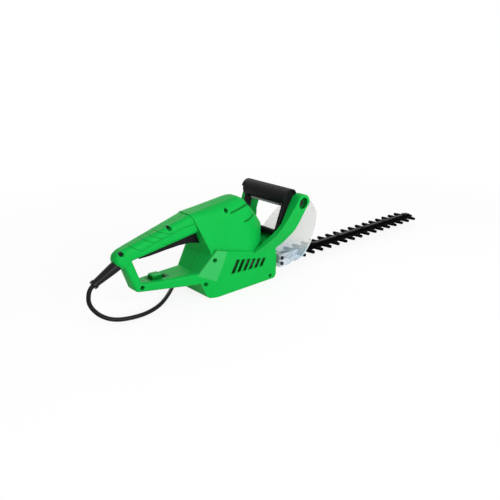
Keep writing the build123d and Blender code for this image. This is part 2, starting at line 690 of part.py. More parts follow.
def bar_springs():
    """Two springs that push the switch bar out."""
    springs = []
    length = BAR_ROOF - BAR_HIGH - SEAT
    for y in (-BAR_SPRING_Y, BAR_SPRING_Y):
        middle = Pos(y, (BAR_HIGH + BAR_ROOF) / 2, 0)
        coil = Cylinder(BAR_SPRING_R, length) - Cylinder(BAR_SPRING_R - 0.8, length)
        springs.append(loop_plane() * middle * (Rot(90, 0, 0) * coil))
    return Compound([s.solid() for s in springs])


def arm_holes():
    """Round recess in each arm's outer face and the screw hole behind it."""
    floor = ARM_TOP_Y - ARM_RECESS_DEPTH
    recess = rod_y(ARM_TOP, ARM_RECESS_R, -ARM_TOP_Y - 1, -floor)
    hole = rod_y(ARM_TOP, LUG_SCREW_R + SEAT, -ARM_TOP_Y, LUG_T - LOOP_HALF_W)
    return recess + hole + other_side(recess + hole)


def lug_holes():
    hole = rod_y(ARM_TOP, LUG_SCREW_R + PRESS, -LOOP_HALF_W - 1, LUG_T - LOOP_HALF_W + 1)
    return hole + other_side(hole)


def front_handle_screws():
    floor = ARM_TOP_Y - ARM_RECESS_DEPTH
    head = rod_y(ARM_TOP, LUG_HEAD_R, -floor - LUG_HEAD_H, -floor)
    shank = rod_y(ARM_TOP, LUG_SCREW_R, -floor, LUG_T - LOOP_HALF_W)
    return both_sides(head + shank)


# Hand guard


def guard_place():
    """Frame of the leaning plate: X across the tool, Y up along it."""
    return Plane((GUARD_FOOT[0], 0, GUARD_FOOT[1]), x_dir=(0, 1, 0), z_dir=(1, 0, -GUARD_LEAN))


def hand_guard():
    up = math.hypot(1, GUARD_LEAN)
    side = [(y, (z - GUARD_FOOT[1]) * up) for y, z in GUARD_SIDE]
    top = (0, (GUARD_TOP_Z - GUARD_FOOT[1]) * up)
    left = [(-y, v) for y, v in side]
    edge = [Spline(*side, top, *reversed(left)), Line(left[0], side[0])]
    plate = extrude(guard_place() * make_face(edge), GUARD_T / 2, both=True)
    plate_x = GUARD_FOOT[0] + GUARD_LEAN * (EAR_TOP_Z - GUARD_FOOT[1])
    ear = rounded([(NOSE_X + SEAT, EAR_FOOT_Z), (NOSE_X + SEAT, EAR_TOP_Z), (plate_x, EAR_TOP_Z),
                   (GUARD_FOOT[0], GUARD_FOOT[1]), (GUARD_FOOT[0] - 8, EAR_FOOT_Z)], [2, 2, 0, 0, 6])
    wing = across(ear, -EAR_HALF_W, EAR_T - EAR_HALF_W)
    pad = block((NOSE_X + SEAT, TONGUE_X), (-EAR_HALF_W + 1, -TONGUE_HALF_W - SEAT), (EAR_FOOT_Z, EAR_TOP_Z))
    wings = wing + pad
    return plate + wings + other_side(wings) - guard_holes()


GUARD_SCREW_X = (NOSE_X + SEAT + TONGUE_X) / 2


def guard_holes():
    holes = [rod_y((GUARD_SCREW_X, z), GUARD_SCREW_R + SEAT, -EAR_HALF_W - 1, -TONGUE_HALF_W) for z in GUARD_SCREW_Z]
    right = Part() + holes
    return right + other_side(right)


def guard_pilots():
    deep = TONGUE_HALF_W - GUARD_SCREW_GRIP - SEAT
    holes = [rod_y((GUARD_SCREW_X, z), GUARD_SCREW_R + PRESS, -TONGUE_HALF_W - 1, -deep) for z in GUARD_SCREW_Z]
    right = Part() + holes
    return right + other_side(right)


def guard_screws():
    screws = []
    for z in GUARD_SCREW_Z:
        at = (GUARD_SCREW_X, z)
        head = rod_y(at, GUARD_HEAD_R, -EAR_HALF_W - GUARD_HEAD_H, -EAR_HALF_W)
        screws.append(head + rod_y(at, GUARD_SCREW_R, -EAR_HALF_W, GUARD_SCREW_GRIP - TONGUE_HALF_W))
    return both_sides(Compound([s.solid() for s in screws]))


# Blades


LOWER_BLADE_Z = (BLADE_Z - BLADE_GAP - BLADE_T, BLADE_Z - BLADE_GAP)
UPPER_BLADE_Z = (BLADE_Z + BLADE_GAP, BLADE_Z + BLADE_GAP + BLADE_T)
GUIDE_Z = (UPPER_BLADE_Z[1] + BLADE_GAP, UPPER_BLADE_Z[1] + BLADE_GAP + GUIDE_T)
YOKE_HALF_X = ECCENTRIC_R + ECCENTRIC_THROW + BLADE_STROKE + 0.5
YOKE_HALF_Y = ECCENTRIC_R + ECCENTRIC_THROW + 0.5
YOKE_RIM = 4.5


def tooth_edge():
    """Right-hand cutting edge, from the yoke to the tip."""
    points = [(CRANK_X + YOKE_HALF_X + 14, BLADE_STRIP_HALF_W)]
    for i in range(TOOTH_COUNT):
        x = TOOTH_FIRST_X + i * TOOTH_PITCH
        points.append((x - TOOTH_ROOT_W / 2, BLADE_STRIP_HALF_W))
        points.append((x - TOOTH_TIP_W / 2, TOOTH_TIP_Y))
        points.append((x + TOOTH_TIP_W / 2, TOOTH_TIP_Y))
        points.append((x + TOOTH_ROOT_W / 2, BLADE_STRIP_HALF_W))
    points.append((BLADE_TIP_X - 3, BLADE_STRIP_HALF_W))
    points.append((BLADE_TIP_X, BLADE_STRIP_HALF_W - 4))
    return points


def blade(z):
    """One blade: toothed strip with a yoke round the eccentrics and slots for the bolts."""
    edge = tooth_edge()
    rim_x = YOKE_HALF_X + YOKE_RIM
    rim_y = YOKE_HALF_Y + YOKE_RIM
    tail = [(CRANK_X - rim_x, 0), (CRANK_X - rim_x, rim_y - 6), (CRANK_X - rim_x + 6, rim_y), (CRANK_X + rim_x - 6, rim_y)]
    half = [*tail, *edge, (BLADE_TIP_X, 0)]
    face = outline([*half, *[(x, -y) for x, y in reversed(half[1:-1])]])
    face -= Pos(CRANK_X, 0) * RectangleRounded(2 * YOKE_HALF_X, 2 * YOKE_HALF_Y, 8)
    slot_l = 2 * (BLADE_STROKE + RUN)
    for x in BOLT_XS:
        face -= Pos(x, 0) * SlotCenterToCenter(slot_l, 2 * (SPACER_R + RUN))
    return upright(face, *z)


def guide_bar():
    """Bar on top of the blades, with a wide tail under the gear case and a ridge between its bolts."""
    nose = [(CRANK_X, -GUIDE_HALF_W), (GUIDE_TIP_X, -GUIDE_HALF_W), (GUIDE_TIP_X, GUIDE_HALF_W), (CRANK_X, GUIDE_HALF_W)]
    face = outline(nose) + Pos(CRANK_X, 0) * RectangleRounded(2 * TAIL_HALF_X, 2 * TAIL_HALF_Y, 5)
    face -= Pos(CRANK_X, 0) * Circle(ECCENTRIC_R + ECCENTRIC_THROW + 1.5)
    bar = upright(face, *GUIDE_Z)
    stops = [NOSE_X + 4, *BOLT_XS, GUIDE_TIP_X + NUT_R]
    for start, end in zip(stops, stops[1:]):
        x = (start + NUT_R + 2, end - NUT_R - 2)
        bar += block(x, (-RIDGE_HALF_W, RIDGE_HALF_W), (GUIDE_Z[1] - 0.5, GUIDE_Z[1] + RIDGE_H))
    for x in BOLT_XS:
        bar -= rod_z(x, 0, BOLT_R + PRESS, GUIDE_Z[0] - 1, GUIDE_Z[1] + 1)
    for x, y in case_screw_places():
        bar -= rod_z(x, y, CASE_SCREW_R + SEAT, GUIDE_Z[0] - 1, GUIDE_Z[1] + 1)
    return bar


def blade_spacers():
    """Bushes that the blades slide along, clamped between the bolt heads and the bar."""
    low = LOWER_BLADE_Z[0] - BLADE_GAP
    rings = [ring_z(x, SPACER_R, BOLT_R + PRESS, low, GUIDE_Z[0]) for x in BOLT_XS]
    return Compound([r.solid() for r in rings])


def blade_bolts():
    low = LOWER_BLADE_Z[0] - BLADE_GAP
    bolts = []
    for x in BOLT_XS:
        head = rod_z(x, 0, BOLT_HEAD_R, low - BOLT_HEAD_H, low)
        shank = rod_z(x, 0, BOLT_R, low, GUIDE_Z[1] + NUT_H)
        nut = upright(Pos(x, 0) * RegularPolygon(NUT_R, 6), GUIDE_Z[1], GUIDE_Z[1] + NUT_H)
        bolts.append(head + shank + nut)
    return Compound([b.solid() for b in bolts])


# Gear


def gear_outline(teeth, turn):
    """Involute gear outline round the origin, with a tooth at the given angle."""
    pitch_r = MODULE * teeth / 2
    base_r = pitch_r * math.cos(PRESSURE_ANGLE)
    tip_r = pitch_r + ADDENDUM * MODULE
    root_r = pitch_r - DEDENDUM * MODULE
    start_r = max(base_r, root_r)
    roll = math.tan(PRESSURE_ANGLE) - PRESSURE_ANGLE
    half = math.pi / 2 / teeth - BACKLASH / 2 / pitch_r
    flank = []
    for step in range(4):
        radius = start_r + (tip_r - start_r) * step / 3
        at = math.acos(min(1, base_r / radius))
        flank.append((radius, half + roll - math.tan(at) + at))
    if root_r < start_r:
        flank.insert(0, (root_r, flank[0][1]))
    points = []
    for tooth in range(teeth):
        middle = turn + 2 * math.pi * tooth / teeth
        for radius, angle in flank:
            points.append((radius * math.cos(middle - angle), radius * math.sin(middle - angle)))
        for radius, angle in reversed(flank):
            points.append((radius * math.cos(middle + angle), radius * math.sin(middle + angle)))
    return outline(points)


def crank_gear():
    wheel = upright(Pos(CRANK_X, 0) * gear_outline(GEAR_TEETH, 0), *GEAR_Z)
    hub = rod_z(CRANK_X, 0, HUB_R, UPPER_ECCENTRIC_Z[1], CASE_TOP_Z - CASE_T - 1.5)
    web = ring_z(CRANK_X, MODULE * GEAR_TEETH / 2 - 5, HUB_R + 2, GEAR_Z[1] - 2, GEAR_Z[1])
    return wheel - web + hub - rod_z(CRANK_X, 0, SPINDLE_R + PRESS, 0, CASE_TOP_Z)


LOWER_ECCENTRIC_Z = (BLADE_Z - ECCENTRIC_T, BLADE_Z)
UPPER_ECCENTRIC_Z = (BLADE_Z, BLADE_Z + ECCENTRIC_T)


def eccentric(z, throw):
    disc = rod_z(CRANK_X, throw, ECCENTRIC_R, *z)
    return disc - rod_z(CRANK_X, 0, SPINDLE_R + PRESS, z[0] - 1, z[1] + 1)


def case_screw_places():
    x, y = CASE_SCREW_XY
    return [(CRANK_X + i * x, j * y) for i in (-1, 1) for j in (-1, 1)]


def gear_case():
    """Casting over the gear: skirt, top plate, bearing seats and screw columns."""
    skirt = Pos(CRANK_X, 0) * Circle(CASE_R)
    pinion_r = MODULE * PINION_TEETH / 2 + 3
    skirt += Pos(MOTOR_X, 0) * Circle(pinion_r + CASE_T)
    for x, y in case_screw_places():
        skirt += Pos(x, y) * Circle(CASE_POST_R)
    body = upright(skirt, GUIDE_Z[1], CASE_TOP_Z)
    hollow = Pos(CRANK_X, 0) * Circle(CASE_R - CASE_T) + Pos(MOTOR_X, 0) * Circle(pinion_r)
    body -= upright(hollow, GUIDE_Z[1], CASE_TOP_Z - CASE_T)
    spindle_r, spindle_w = SPINDLE_BEARING
    shaft_r, shaft_w = SHAFT_BEARING
    seat_top = CASE_TOP_Z + 4
    body += rod_z(CRANK_X, 0, spindle_r + 2.5, CASE_TOP_Z - CASE_T, seat_top)
    body += rod_z(MOTOR_X, 0, shaft_r + 2.5, CASE_TOP_Z - CASE_T, LOWER_BEARING_Z + shaft_w)
    body -= rod_z(CRANK_X, 0, spindle_r + PRESS, seat_top - spindle_w - 0.5, seat_top)
    body -= rod_z(CRANK_X, 0, HUB_R + 0.5, GUIDE_Z[1], seat_top - 1)
    body -= rod_z(MOTOR_X, 0, shaft_r + PRESS, LOWER_BEARING_Z, seat_top + 5)
    body -= rod_z(MOTOR_X, 0, SHAFT_R + 3, GUIDE_Z[1], seat_top)
    for x, y in case_screw_places():
        body -= rod_z(x, y, CASE_SCREW_R + PRESS, GUIDE_Z[1] - 1, CASE_TOP_Z - 3)
    return body


SPINDLE_BEARING_Z = CASE_TOP_Z + 4 - SPINDLE_BEARING[1] - 0.5


def bearing(x, z_low, size, bore):
    """Ball bearing: outer and inner race with a groove between them on both faces."""
    radius, width = size
    ring = ring_z(x, radius, bore + SHAFT_FIT, z_low, z_low + width)
    middle = (radius + bore) / 2
    groove = ring_z(x, middle + 1.2, middle - 1.2, z_low + width - 0.8, z_low + width)
    return ring - groove


def base_plate():
    """Plate under the gear with four posts up to the guide bar's tail."""
    x, y = CASE_SCREW_XY
    face = Pos(CRANK_X, 0) * RectangleRounded(2 * (x + 5), 2 * BASE_HALF_Y, 4)
    plate = upright(face, WALL, WALL + BASE_T)
    for at in case_screw_places():
        plate += rod_z(*at, CASE_POST_R, WALL, GUIDE_Z[0])
        plate -= rod_z(*at, CASE_SCREW_R + SEAT, WALL - 1, GUIDE_Z[0] + 1)
        plate -= rod_z(*at, 2 * CASE_SCREW_R, WALL - 1, WALL + 1.6)
    return plate - rod_z(CRANK_X, 0, BUSH_R + PRESS, WALL - 1, WALL + BASE_T + 1)


def spindle_bush():
    return ring_z(CRANK_X, BUSH_R, SPINDLE_R + SHAFT_FIT, WALL, BUSH_TOP_Z)


def gear_case_screws():
    screws = []
    for at in case_screw_places():
        head = rod_z(*at, 2 * CASE_SCREW_R - SEAT, WALL, WALL + 1.6)
        screws.append(head + rod_z(*at, CASE_SCREW_R, WALL, CASE_TOP_Z - 4))
    return Compound([s.solid() for s in screws])


# Motor


def stator_outline(grow):
    flats = Rectangle(2 * (STATOR_HALF_X + grow), 2 * (STATOR_HALF_Y + grow))
    return Pos(MOTOR_X, 0) * (Circle(STATOR_R + grow) & flats)


COIL_HALF_Y = 13.0
COIL_X = (21.0, 26.0)        # from the shaft's axis


def coil_window(grow):
    """Plan of one field coil's two sides, in the slots beside the bore."""
    low, high = COIL_X
    side = Pos((low + high) / 2, 0) * Rectangle(high - low + 2 * grow, 2 * (COIL_HALF_Y + grow))
    return Pos(MOTOR_X, 0) * (side + Pos(-low - high, 0) * side)


def stator_core():
    face = stator_outline(0) - Pos(MOTOR_X, 0) * Circle(STATOR_BORE_R) - coil_window(SEAT)
    return upright(face, *STATOR_Z)


def field_coils():
    """Coil bundles through the stator's slots, with their heads turned outwards at both ends."""
    low, high = STATOR_Z
    coils = upright(coil_window(0), low - COIL_REACH, high + COIL_REACH - 5)
    return Compound(coils.solids())


def armature_shaft():
    shaft = rod_z(MOTOR_X, 0, SHAFT_R, PINION_Z[0] - 1, SHAFT_TOP_Z)
    teeth = gear_outline(PINION_TEETH, math.pi / PINION_TEETH)
    return shaft + upright(Pos(MOTOR_X, 0) * teeth, *PINION_Z)


def armature_core():
    """Laminated core with open slots for the windings."""
    face = Circle(ARMATURE_R)
    for i in range(ARMATURE_SLOTS):
        slot = Pos(ARMATURE_R - 3.5, 0) * Rectangle(8, 3.4)
        face -= Rot(0, 0, 360 * i / ARMATURE_SLOTS) * slot
    core = upright(Pos(MOTOR_X, 0) * face, *STATOR_Z)
    return core - rod_z(MOTOR_X, 0, SHAFT_R + PRESS, *STATOR_Z)


def armature_windings():
    """Winding heads at both ends of the core."""
    low, high = STATOR_Z
    heads = []
    for z in ((low - 6, low), (high, high + 6)):
        head = ring_z(MOTOR_X, ARMATURE_R - 1.6, SHAFT_R + PRESS, *z)
        outer = head.edges().filter_by(GeomType.CIRCLE).sort_by(SortBy.RADIUS)[-2:]
        heads.append(chamfer(outer, WINDING_EDGE))
    return Compound([h.solid() for h in heads])


def commutator():
    ring = ring_z(MOTOR_X, COMMUTATOR_R, SHAFT_R + PRESS, *COMMUTATOR_Z)
    for i in range(COMMUTATOR_BARS):
        cut = Pos(COMMUTATOR_R, 0, sum(COMMUTATOR_Z) / 2) * Box(2.4, 0.7, COMMUTATOR_Z[1] - COMMUTATOR_Z[0])
        ring -= Pos(MOTOR_X, 0, 0) * Rot(0, 0, 360 * i / COMMUTATOR_BARS) * cut
    return ring


def fan():
    """Radial fan: back plate, hub and curved blades."""
    low, high = FAN_Z
    wheel = rod_z(MOTOR_X, 0, FAN_R, low, low + 1.8) + rod_z(MOTOR_X, 0, SHAFT_R + 5, low, high)
    blade_face = Pos(FAN_R / 2 + 4, 0) * Rectangle(FAN_R - 10, 1.6)
    for i in range(FAN_BLADES):
        turned = Rot(0, 0, 360 * i / FAN_BLADES) * (Rot(0, 0, 12) * blade_face)
        wheel += upright(Pos(MOTOR_X, 0) * turned, low + 1, high)
    return wheel - rod_z(MOTOR_X, 0, SHAFT_R + PRESS, low - 1, high + 1)


def end_bracket():
    """Bridge over the commutator that holds the upper bearing and the brush holders."""
    low = STATOR_Z[1]
    radius, width = SHAFT_BEARING
    top = UPPER_BEARING_Z + width + 1
    ring = ring_z(MOTOR_X, BRACKET_R, BRACKET_R - BRACKET_RIM, low, low + 4)
    half_x = BRACKET_ARM_W / 2
    x = (MOTOR_X - half_x, MOTOR_X + half_x)
    bracket = ring + block(x, (-BRACKET_ARM_Y, BRACKET_ARM_Y), (UPPER_BEARING_Z - 3, UPPER_BEARING_Z + 1))
    for side in (-1, 1):
        y = sorted((side * (BRACKET_ARM_Y - 3), side * BRACKET_ARM_Y))
        bracket += block(x, y, (low, UPPER_BEARING_Z))
    bracket += rod_z(MOTOR_X, 0, radius + BEARING_WALL, UPPER_BEARING_Z - 3, top)
    bracket -= rod_z(MOTOR_X, 0, radius + PRESS, UPPER_BEARING_Z, top)
    bracket -= rod_z(MOTOR_X, 0, SHAFT_R + 2, low, top)
    for side in (-1, 1):
        width, height = (v + 2 * (BRUSH_HOLDER_T + SEAT) for v in BRUSH)
        x = sorted((MOTOR_X + side * BRUSH_POST[0], MOTOR_X + side * BRUSH_POST[1]))
        foot_x = sorted((MOTOR_X + side * BRUSH_POST[0], MOTOR_X + side * (BRACKET_R - 2)))
        y = half_span(width + 3)
        foot_z = low + COIL_REACH - 4.5
        post = block(x, y, (foot_z, brush_z() + height / 2 + 1)) + block(foot_x, y, (foot_z, foot_z + 3))
        bracket += post - block((x[0] - 1, x[1] + 1), half_span(width), mid_span(height))
    return bracket - field_coil_room()


def field_coil_room():
    low, high = STATOR_Z
    return upright(coil_window(SEAT), low - COIL_REACH, high + COIL_REACH - 5 + SEAT)


def brush_z():
    return sum(COMMUTATOR_Z) / 2


def brush_holders():
    holders = []
    for side in (-1, 1):
        x = sorted((MOTOR_X + side * (COMMUTATOR_R + 2), MOTOR_X + side * BRUSH_REACH))
        tube = block(x, half_span(BRUSH[0] + 2 * BRUSH_HOLDER_T), mid_span(BRUSH[1] + 2 * BRUSH_HOLDER_T))
        holders.append(tube - block(x, half_span(BRUSH[0] + 2 * PRESS), mid_span(BRUSH[1] + 2 * PRESS)))
    return Compound([h.solid() for h in holders])


def half_span(width):
    return (-width / 2, width / 2)


def mid_span(height):
    return (brush_z() - height / 2, brush_z() + height / 2)


def carbon_brushes():
    brushes = []
    for side in (-1, 1):
        x = sorted((MOTOR_X + side * (COMMUTATOR_R - 2), MOTOR_X + side * (BRUSH_REACH - 6)))
        stick = block(x, half_span(BRUSH[0]), mid_span(BRUSH[1]))
        brushes.append(stick - rod_z(MOTOR_X, 0, COMMUTATOR_R + 0.1, *COMMUTATOR_Z))
    return Compound([b.solid() for b in brushes])


# Trigger, rear switch and lock button


def trigger_outline():
    """Side outline of the lever: pivot eye at the rear, hooked nose at the front."""
    eye = Pos(*TRIGGER_PIVOT) * Circle(TRIGGER_EYE_R)
    x, z = TRIGGER_PIVOT
    lever = outline([(x - 3, z - TRIGGER_EYE_R + 1), *TRIGGER_UNDER, *TRIGGER_OVER, (x + 2, z + TRIGGER_EYE_R - 0.5)])
    return lever + eye


def trigger_turn(angle):
    x, z = TRIGGER_PIVOT
    return Pos(x, 0, z) * Rot(0, -angle, 0) * Pos(-x, 0, -z)


def trigger():
    lever = across(trigger_outline(), -TRIGGER_HALF_W, TRIGGER_HALF_W)
    x, z = TRIGGER_PIVOT
    highest = max(point[1] for point in TRIGGER_UNDER) + TRIGGER_EDGE_R
    sides = lever.faces().filter_by(Axis.Y)
    under = [e for e in sides.edges() if e.center().Z < highest and e.center().X > x]
    lever = fillet(under, TRIGGER_EDGE_R)
    return lever - rod_y(TRIGGER_PIVOT, TRIGGER_PIN_R + SHAFT_FIT, -TRIGGER_HALF_W - 1, TRIGGER_HALF_W + 1)


def pin_reach():
    """Half length of the trigger's pin, between the grip's walls."""
    return grip_half_w(TRIGGER_PIVOT[0]) - WALL - SEAT


def trigger_pin():
    return rod_y(TRIGGER_PIVOT, TRIGGER_PIN_R, -pin_reach(), pin_reach())


PLUNGER_Z = 104.9
REAR_SWITCH_Z = PLUNGER_Z + 4.0


def rear_plunger():
    return rod_z(PLUNGER_X, 0, PLUNGER_R, PLUNGER_Z, PLUNGER_Z + PLUNGER_H)


def rear_switch():
    half_l = REAR_SWITCH_L / 2
    x = (PLUNGER_X - half_l, PLUNGER_X + half_l)
    body = block(x, half_span(REAR_SWITCH_W), (REAR_SWITCH_Z, REAR_SWITCH_Z + REAR_SWITCH_H))
    return body - rod_z(PLUNGER_X, 0, PLUNGER_R + 0.06, REAR_SWITCH_Z - 1, REAR_SWITCH_Z + REAR_SWITCH_H - 1)


def lock_slide():
    cap = block((-LOCK_HALF_L, LOCK_HALF_L), (-LOCK_HALF_W, LOCK_HALF_W), (-WALL - SEAT, LOCK_RISE))
    cap = fillet(cap.edges().filter_by(Axis.Y).group_by(Axis.Z)[-1], 2.5)
    top = -WALL - SEAT
    flange = block((-LOCK_FLANGE_HALF_L, LOCK_FLANGE_HALF_L), (-LOCK_FLANGE_HALF_W, LOCK_FLANGE_HALF_W),
                   (top - LOCK_FLANGE_T, top))
    return lock_place() * (cap + flange)


# Cord


def cord_boot():
    """Flexible sleeve: tail and flange inside the housing, long taper and collar outside."""
    low, high = BOOT_FLANGE_Z
    collar = BOOT_L - BOOT_COLLAR_L
    hole_r = CORD_R + PRESS
    hole_end = BOOT_L - CORD_SOCKET
    profile = [(0, -BOOT_TAIL_L), (BOOT_TIP_R, -BOOT_TAIL_L), (BOOT_TIP_R, low), (BOOT_FLANGE_R, low)]
    profile += [(BOOT_FLANGE_R, high), (BOOT_ROOT_R, high), (BOOT_ROOT_R, BOOT_STRAIGHT_L), (BOOT_TIP_R, collar)]
    profile += [(BOOT_COLLAR_R, collar), (BOOT_COLLAR_R, BOOT_L), (hole_r, BOOT_L), (hole_r, hole_end), (0, hole_end)]
    sleeve = revolve(Plane.XZ * outline(profile), Axis.Z)
    return boot_place() * sleeve


def cord_points():
    """Route of the cord's middle line, from inside the boot's end to inside the plug's neck."""
    start = (boot_place() * Pos(0, 0, BOOT_L - CORD_SOCKET)).position
    bend = (boot_place() * Pos(0, 0, BOOT_L + 4)).position
    end = (PLUG_AT[0] + CORD_SOCKET, PLUG_AT[1], PLUG_AT[2])
    return [Vector(*p) for p in (start, bend, *CORD_ROUTE, end)]


def power_cord():
    points = cord_points()
    radii = []
    for before, at, after in zip(points, points[1:], points[2:]):
        turn = (at - before).get_angle(after - at)
        shorter = min((at - before).length, (after - at).length)
        radii.append(0.45 * shorter / math.tan(math.radians(turn) / 2))
    print("cord radii", [round(r) for r in radii])
    path = FilletPolyline(*points, radius=radii)
    section = Plane(points[0], z_dir=points[1] - points[0]) * Circle(CORD_R)
    tube = sweep(section, path)
    print("cord length", round(path.length, 1), "volume over section times length",
          round(tube.volume / (math.pi * CORD_R ** 2 * path.length), 4))
    return tube


def plug_body():
    """Flat-sided moulded plug with a tapered neck."""
    front = Plane(PLUG_AT, x_dir=(0, 1, 0), z_dir=(1, 0, 0))
    neck = loft([Plane(PLUG_AT, x_dir=(0, 1, 0), z_dir=(1, 0, 0)) * Circle(PLUG_NECK_R),
                 front.offset(PLUG_NECK_L) * Circle(PLUG_NECK_R + 3)])
    body = extrude(front.offset(PLUG_NECK_L) * RectangleRounded(2 * PLUG_HALF_W, 2 * PLUG_HALF_H, 11), PLUG_L)
    socket = extrude(front * Circle(CORD_R + PRESS), CORD_SOCKET)
    face_edges = body.faces().filter_by(Axis.X).edges()
    plug = chamfer(face_edges, PLUG_EDGE) + neck - socket
    for place in pin_places():
        plug -= extrude(place * Circle(PIN_R + PRESS), -8)
    return plug


def pin_places():
    x, y, z = PLUG_AT
    face_x = x + PLUG_NECK_L + PLUG_L
    return [Plane((face_x, y + side * PIN_SPACING / 2, z), z_dir=(1, 0, 0)) for side in (-1, 1)]


def plug_pins():
    pins = [extrude(place.offset(-8) * Circle(PIN_R), PIN_L + 8) for place in pin_places()]
    return Compound([p.solid() for p in pins])


def build():
    """All pieces by name."""
    outside = shell_form(0)
    inside = shell_form(WALL)
    return {
        "housing_right": housing_half(-1, outside, inside),
        "housing_left": housing_half(1, outside, inside),
        "housing_screws": housing_screws(),
        "front_handle": front_handle(),
        "front_handle_screws": front_handle_screws(),
        "front_switch_bar": front_switch_bar(),
        "front_switch": front_switch(),
        "bar_springs": bar_springs(),
        "hand_guard": hand_guard(),
        "guard_screws": guard_screws(),
        "upper_blade": blade(UPPER_BLADE_Z),
        "lower_blade": blade(LOWER_BLADE_Z),
        "guide_bar": guide_bar(),
        "blade_spacers": blade_spacers(),
        "blade_bolts": blade_bolts(),
        "crank_gear": crank_gear(),
        "crank_spindle": rod_z(CRANK_X, 0, SPINDLE_R, *SPINDLE_Z),
        "upper_eccentric": eccentric(UPPER_ECCENTRIC_Z, ECCENTRIC_THROW),
        "lower_eccentric": eccentric(LOWER_ECCENTRIC_Z, -ECCENTRIC_THROW),
        "gear_case": gear_case(),
        "gear_case_screws": gear_case_screws(),
        "base_plate": base_plate(),
        "spindle_bush": spindle_bush(),
        "spindle_bearing": bearing(CRANK_X, SPINDLE_BEARING_Z, SPINDLE_BEARING, SPINDLE_R),
        "stator_core": stator_core(),
        "field_coils": field_coils(),
        "armature_shaft": armature_shaft(),
        "armature_core": armature_core(),
        "armature_windings": armature_windings(),
        "commutator": commutator(),
        "fan": fan(),
        "lower_bearing": bearing(MOTOR_X, LOWER_BEARING_Z, SHAFT_BEARING, SHAFT_R),
        "upper_bearing": bearing(MOTOR_X, UPPER_BEARING_Z, SHAFT_BEARING, SHAFT_R),
        "end_bracket": end_bracket(),
        "brush_holders": brush_holders(),
        "carbon_brushes": carbon_brushes(),
        "trigger": trigger(),
        "trigger_pin": trigger_pin(),
        "rear_switch": rear_switch(),
        "rear_plunger": rear_plunger(),
        "lock_slide": lock_slide(),
        "cord_boot": cord_boot(),
        "power_cord": power_cord(),
        "plug_body": plug_body(),
        "plug_pins": plug_pins(),
    }


def main():
    os.makedirs("parts", exist_ok=True)
    for name, part in build().items():
        export_step(part, f"parts/{name}.step")


if __name__ == "__main__":
    main()
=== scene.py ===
"""Looks of a corded electric hedge trimmer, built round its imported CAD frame. Metres, in the row frame."""

import json
import math
from types import SimpleNamespace

import bpy
from mathutils import Matrix, Vector


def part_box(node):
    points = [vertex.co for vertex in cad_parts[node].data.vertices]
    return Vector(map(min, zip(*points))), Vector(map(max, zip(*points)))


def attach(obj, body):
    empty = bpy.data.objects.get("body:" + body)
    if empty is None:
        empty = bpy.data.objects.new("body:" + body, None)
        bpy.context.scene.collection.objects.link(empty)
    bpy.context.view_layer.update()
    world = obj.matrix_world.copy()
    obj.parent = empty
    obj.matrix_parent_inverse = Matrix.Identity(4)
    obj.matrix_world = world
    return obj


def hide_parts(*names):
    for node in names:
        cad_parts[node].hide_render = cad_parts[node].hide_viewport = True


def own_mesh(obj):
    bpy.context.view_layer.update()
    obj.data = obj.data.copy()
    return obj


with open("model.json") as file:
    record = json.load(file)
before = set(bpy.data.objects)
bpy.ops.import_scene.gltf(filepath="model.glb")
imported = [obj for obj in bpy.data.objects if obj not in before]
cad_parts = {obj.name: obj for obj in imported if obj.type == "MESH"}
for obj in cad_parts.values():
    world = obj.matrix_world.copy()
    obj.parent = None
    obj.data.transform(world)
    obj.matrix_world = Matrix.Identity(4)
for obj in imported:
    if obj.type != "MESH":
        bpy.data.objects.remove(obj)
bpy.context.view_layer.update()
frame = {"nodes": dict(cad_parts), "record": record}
nodes = frame["nodes"]
scene = bpy.context.scene
scene.view_settings.view_transform = "Standard"


# Camera

CAMERA_AT = (-0.762, -0.679, 0.380)
CAMERA_TURN = math.radians(43.3)      # from a square look at the right side, towards the blade
CAMERA_DIP = math.radians(19.7)       # below the horizon
CAMERA_ROLL = math.radians(1.21)
CAMERA_LENS = 40.75
SENSOR_WIDTH = 36


def photo_camera():
    """Camera at the photograph's place, turned and rolled as it was."""
    right = Vector((math.cos(CAMERA_TURN), -math.sin(CAMERA_TURN), 0))
    level = Vector((math.sin(CAMERA_TURN), math.cos(CAMERA_TURN), 0))
    ahead = math.cos(CAMERA_DIP) * level - math.sin(CAMERA_DIP) * Vector((0, 0, 1))
    up = right.cross(ahead)
    rolled_right = math.cos(CAMERA_ROLL) * right + math.sin(CAMERA_ROLL) * up
    rolled_up = math.cos(CAMERA_ROLL) * up - math.sin(CAMERA_ROLL) * right
    lens = bpy.data.cameras.new("photo_camera")
    lens.sensor_width = SENSOR_WIDTH
    lens.lens = CAMERA_LENS
    lens.clip_start = 0.01
    lens.clip_end = 50
    camera = bpy.data.objects.new("photo_camera", lens)
    turn = Matrix((rolled_right, rolled_up, -ahead)).transposed().to_4x4()
    camera.matrix_world = Matrix.Translation(CAMERA_AT) @ turn
    scene.collection.objects.link(camera)
    scene.camera = camera


photo_camera()


# Cord

CORD_DIAMETER = 0.0065
CORD_ROUTE = [
    (-0.417386, 0.0, 0.064599), (-0.426215, 0.0, 0.059904), (-0.4305, 0.0, 0.0502),
    (-0.4315, -0.0005, 0.0373), (-0.426, -0.0025, 0.025), (-0.4155, -0.006, 0.0134),
    (-0.3995, -0.0115, 0.005), (-0.3785, -0.0185, 0.0035), (-0.3515, -0.021, 0.0035),
    (-0.3225, -0.0115, 0.0035), (-0.297, 0.006, 0.0035), (-0.272, 0.0275, 0.0035),
    (-0.247, 0.0515, 0.0035), (-0.22, 0.07, 0.0035), (-0.192, 0.08, 0.0045),
    (-0.168, 0.0835, 0.0085), (-0.149, 0.084, 0.0135), (-0.122, 0.084, 0.0135),
]


